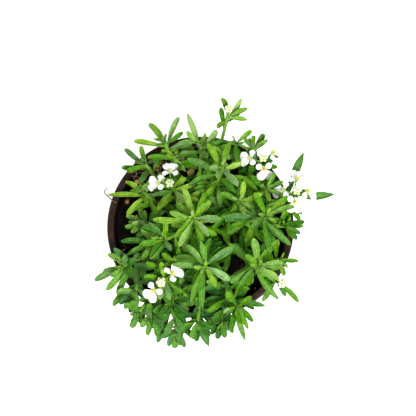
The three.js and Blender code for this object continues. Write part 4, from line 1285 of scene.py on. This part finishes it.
def foliage_look():
    look = Look("leaf", Specular_IOR_Level=0.1)
    tone, cool, stem = look.value("tone"), look.value("cool"), look.value("stem")
    along, top = look.value("along"), look.value("top")
    across = look.math("ABSOLUTE", look.value("across"))
    patches = look.noise(260, 3)
    mottle = look.noise(850, 3, 0.65)
    shade = look.plus(tone, look.times(look.math("SUBTRACT", patches, 0.5), 0.65))
    shade = look.plus(shade, look.times(look.math("SUBTRACT", mottle, 0.5), 0.85))
    colour = look.ramp(shade, (0.0, rgb(8, 62, 2)), (0.35, rgb(46, 108, 2)), (0.65, rgb(88, 139, 8)),
                       (1.0, rgb(142, 182, 50)))
    pale = look.ramp(shade, (0.0, rgb(30, 76, 36)), (0.5, rgb(82, 124, 68)), (1.0, rgb(156, 190, 132)))
    colour = look.mix(cool, colour, pale)
    light = look.ramp(shade, (0.0, rgb(46, 96, 18)), (0.5, rgb(118, 164, 48)), (1.0, rgb(186, 212, 108)))
    vein = look.span(across, 0.13, 0.03)
    slant = look.math("SUBTRACT", look.times(along, 46.0), look.times(across, 5.0))
    side_veins = look.span(look.math("ABSOLUTE", look.math("SINE", slant)), 0.3, 0.0)
    colour = look.over(colour, side_veins, 0.16, light)
    colour = look.over(colour, vein, 0.65, light)
    colour = look.over(colour, look.span(across, 0.8, 0.97), 0.5, light)
    colour = look.over(colour, look.span(along, 0.16, 0.0), 0.5, light)
    under = look.ramp(shade, (0.0, rgb(60, 104, 50)), (1.0, rgb(160, 192, 128)))
    colour = look.over(colour, look.span(top, 0.4, 0.1), 0.6, under)
    bark = look.ramp(look.plus(along, look.times(patches, 0.3)),
                     (0.3, rgb(104, 148, 48)), (0.65, rgb(100, 128, 52)), (1.0, rgb(92, 84, 48)))
    colour = look.mix(stem, colour, bark)
    relief = look.plus(mottle, look.times(look.plus(vein, side_veins), -0.5))
    look.bump(relief, 0.4, 0.0005)
    return look.done(colour, look.span(patches, 0.3, 0.7, 0.42, 0.56))


def flower_look():
    """Petals, sepals, ovary, stamens and buds, by the part number that each point carries."""
    look = Look("petal", Specular_IOR_Level=0.3)
    part, along = look.value("part"), look.value("along")
    across = look.value("across")
    veins = look.math("ABSOLUTE", look.math("SINE", look.times(across, 15.0)))
    petal = look.ramp(along, (0.0, rgb(206, 220, 146)), (0.16, rgb(236, 238, 222)), (0.5, rgb(243, 244, 240)))
    petal = look.over(petal, look.span(veins, 0.25, 0.0), 0.12, rgb(214, 220, 200))
    sepal = look.ramp(along, (0.0, rgb(150, 180, 86)), (1.0, rgb(206, 216, 160)))
    ovary = look.ramp(along, (0.0, rgb(140, 170, 50)), (1.0, rgb(196, 206, 70)))
    bud = look.ramp(look.plus(along, look.times(look.value("seam"), 0.08)),
                    (0.1, rgb(84, 130, 36)), (0.42, rgb(172, 200, 104)), (0.7, rgb(226, 234, 186)),
                    (1.0, rgb(242, 244, 216)))
    # Painted shade: the grooves between a bud's lobes, where the seam value is low, are painted darker green,
    # as the seam's shift of the ramp above also does.
    bud = look.over(bud, look.span(look.value("seam"), -0.5, -1.0), 0.6, rgb(140, 172, 78))
    gold = look.value("gold")
    ovary = look.mix(gold, rgb(226, 232, 200), ovary)
    anther = look.mix(gold, rgb(120, 104, 60), rgb(216, 200, 44))
    colour = petal
    others = ((GREEN, sepal), (OVARY, ovary), (FILAMENT, rgb(228, 232, 196)), (ANTHER, anther), (BUD, bud))
    for number, own in others:
        colour = look.mix(look.math("GREATER_THAN", part, number - 0.5), colour, own)
    look.bump(look.plus(look.noise(1100, 3), look.times(veins, 0.5)), 0.2, 0.0003)
    return look.done(colour, look.span(look.noise(500), 0.3, 0.7, 0.5, 0.66))


def pot_look():
    """Dusty brown plastic, with painted shade that darkens the inside of the wall below the rim."""
    look = Look("pot_plastic", Specular_IOR_Level=0.22)
    dust = look.noise(150, 6, 0.65)
    mottle = look.noise(420, 5, 0.7)
    colour = look.ramp(mottle, (0.3, rgb(22, 12, 8)), (0.55, rgb(40, 23, 15)), (0.75, rgb(63, 41, 30)))
    colour = look.over(colour, look.span(dust, 0.55, 0.78), 0.35, rgb(92, 76, 62))
    scratches = look.noise(90, 4, 0.6, (1, 1, 14))
    colour = look.over(colour, look.span(scratches, 0.6, 0.75), 0.18, rgb(84, 68, 57))
    from_axis = look.node("VectorMath", "Value", {0: look.place((1, 1, 0))}, operation="LENGTH")
    height = look.node("SeparateXYZ", "Z", {0: look.place()})
    inner = RIM_RADIUS - RIM_BAND
    inside = look.span(from_axis, (inner + 0.7) * MM, inner * MM)
    below = look.span(height, (POT_HEIGHT - 0.3) * MM, (POT_HEIGHT - 2) * MM)
    above = look.span(height, COLLAR_FOOT * MM, (COLLAR_FOOT + 3) * MM)
    # Painted shade: the inside of the wall, from just below the rim down to the collar's foot, is painted
    # near black.
    painted_shade = look.times(look.times(inside, below), look.times(above, 0.85))
    colour = look.mix(painted_shade, colour, rgb(7, 5, 4))
    look.bump(look.plus(look.noise(2200, 3), look.times(dust, 0.6)), 0.25, 0.0003)
    return look.done(colour, look.span(dust, 0.4, 0.7, 0.42, 0.68))


def soil_look():
    look = Look("soil", Specular_IOR_Level=0.1)
    grit = look.value("grit")
    fine = look.noise(900, 6, 0.7)
    coarse = look.noise(160, 4)
    dark = look.ramp(fine, (0.35, rgb(3, 2, 1)), (0.6, rgb(10, 9, 5)), (0.8, rgb(27, 22, 14)))
    dark = look.over(dark, look.span(coarse, 0.55, 0.75), 0.35, rgb(26, 17, 10))
    grain = look.ramp(grit, (0.0, rgb(8, 6, 4)), (0.5, rgb(32, 24, 16)), (0.75, rgb(150, 118, 84)),
                      (1.0, rgb(206, 178, 134)))
    grain = look.mix(0.4, grain, look.mix(look.span(fine, 0.35, 0.65), grain, rgb(28, 20, 14)))
    colour = look.mix(look.span(grit, 0.05, 0.15), dark, grain)
    look.bump(fine, 0.7, 0.0009)
    return look.done(colour, look.span(coarse, 0.3, 0.7, 0.7, 0.95))


def bark_look():
    look = Look("bark", Specular_IOR_Level=0.3)
    fibre = look.noise(700, 5, 0.65, (0.35, 1, 1))
    patch = look.noise(300, 3)
    colour = look.ramp(look.plus(fibre, look.value("tone")), (0.1, rgb(84, 56, 28)),
                       (0.3, rgb(160, 110, 62)), (0.5, rgb(222, 172, 108)), (0.72, rgb(253, 208, 136)))
    colour = look.over(colour, look.span(patch, 0.55, 0.75), 0.4, rgb(122, 80, 46))
    look.bump(fibre, 0.6, 0.0006)
    return look.done(colour, look.span(patch, 0.3, 0.7, 0.68, 0.85))


def fibre_look():
    look = Look("dry_fibre", Specular_IOR_Level=0.2)
    grain = look.noise(1400, 4)
    look.bump(grain, 0.5, 0.0002)
    return look.done(look.ramp(grain, (0.3, rgb(62, 42, 36)), (0.7, rgb(118, 92, 78))), 0.8)


def floor_look():
    look = Look("floor", Specular_IOR_Level=0.2)
    fine = look.noise(60, 3)
    colour = look.mix(look.span(fine, 0.3, 0.7), rgb(250, 250, 250), rgb(254, 254, 254))
    look.shader.inputs["Emission Color"].default_value = (1, 1, 1, 1)
    look.shader.inputs["Emission Strength"].default_value = 0.7
    return look.done(colour, 0.9)


# Scene

# Floor: its sides, and the reach and height of its rings in metres. It is round, and its far edge turns
# up a little, so that a level look ends on it too.
FLOOR_SIDES = 64
FLOOR_RINGS = ((12, 0), (13, 0.3), (14, 2.4))

# Soft lights: place and width in metres, and power in watts
LIGHTS = {"key": ((0.45, -0.75, 1.35), 0.5, 32), "fill": ((-0.9, -0.25, 1.1), 0.9, 6)}
LIGHT_TARGET = (0, 0, 0.12)
STUDIO_GLOW = 0.27

# The camera looks down from the south, 75 degrees above the horizon, as the photograph does.
CAMERA_ELEVATION = 75
CAMERA_DISTANCE = 600
CAMERA_TARGET = at(6.0, 13.4, POT_HEIGHT)
CAMERA_LENS = 64.4
CAMERA_SENSOR = 36


def floor_stage(material):
    rings = [[(*(bearing_of(360 * k / FLOOR_SIDES) * reach)[:2], rise) for k in range(FLOOR_SIDES)]
             for reach, rise in FLOOR_RINGS]
    faces = [tuple(range(FLOOR_SIDES)), *ring_faces(len(rings), FLOOR_SIDES, capped=False)]
    mesh = bpy.data.meshes.new("floor")
    mesh.from_pydata([p for ring in rings for p in ring], [], faces)
    mesh.materials.append(material)
    floor = new_object("floor", mesh)


def studio_lights():
    for name, (place, size, power) in LIGHTS.items():
        light = bpy.data.lights.new(name, "AREA")
        light.shape = "DISK"
        light.size = size
        light.energy = power
        lamp = new_object(name, light)
        lamp.location = place
        lamp.rotation_euler = (Vector(LIGHT_TARGET) - Vector(place)).to_track_quat("-Z", "Y").to_euler()
    world = bpy.data.worlds.new("studio")
    world.use_nodes = True
    glow = world.node_tree.nodes["Background"]
    glow.inputs["Color"].default_value = (1, 1, 1, 1)
    glow.inputs["Strength"].default_value = STUDIO_GLOW
    bpy.context.scene.world = world


def studio_camera():
    camera = bpy.data.cameras.new("camera")
    camera.lens = CAMERA_LENS
    camera.sensor_width = CAMERA_SENSOR
    viewer = new_object("camera", camera)
    elevation = math.radians(CAMERA_ELEVATION)
    back = at(0, -math.cos(elevation), math.sin(elevation))
    viewer.location = Vector((CAMERA_TARGET + back * CAMERA_DISTANCE) * MM)
    viewer.rotation_euler = Vector(-back).to_track_quat("-Z", "Y").to_euler()
    bpy.context.scene.camera = viewer
    bpy.context.scene.view_settings.view_transform = "Standard"


pot_piece(pot_look())
soil_piece(soil_look())
chip_pieces(bark_look())
dry_stalk_piece(fibre_look())
foliage_pieces(foliage_look())
flowers = flower_look()
floret_pieces(flowers)
bud_pieces(flowers)
floor_stage(floor_look())
studio_lights()
studio_camera()
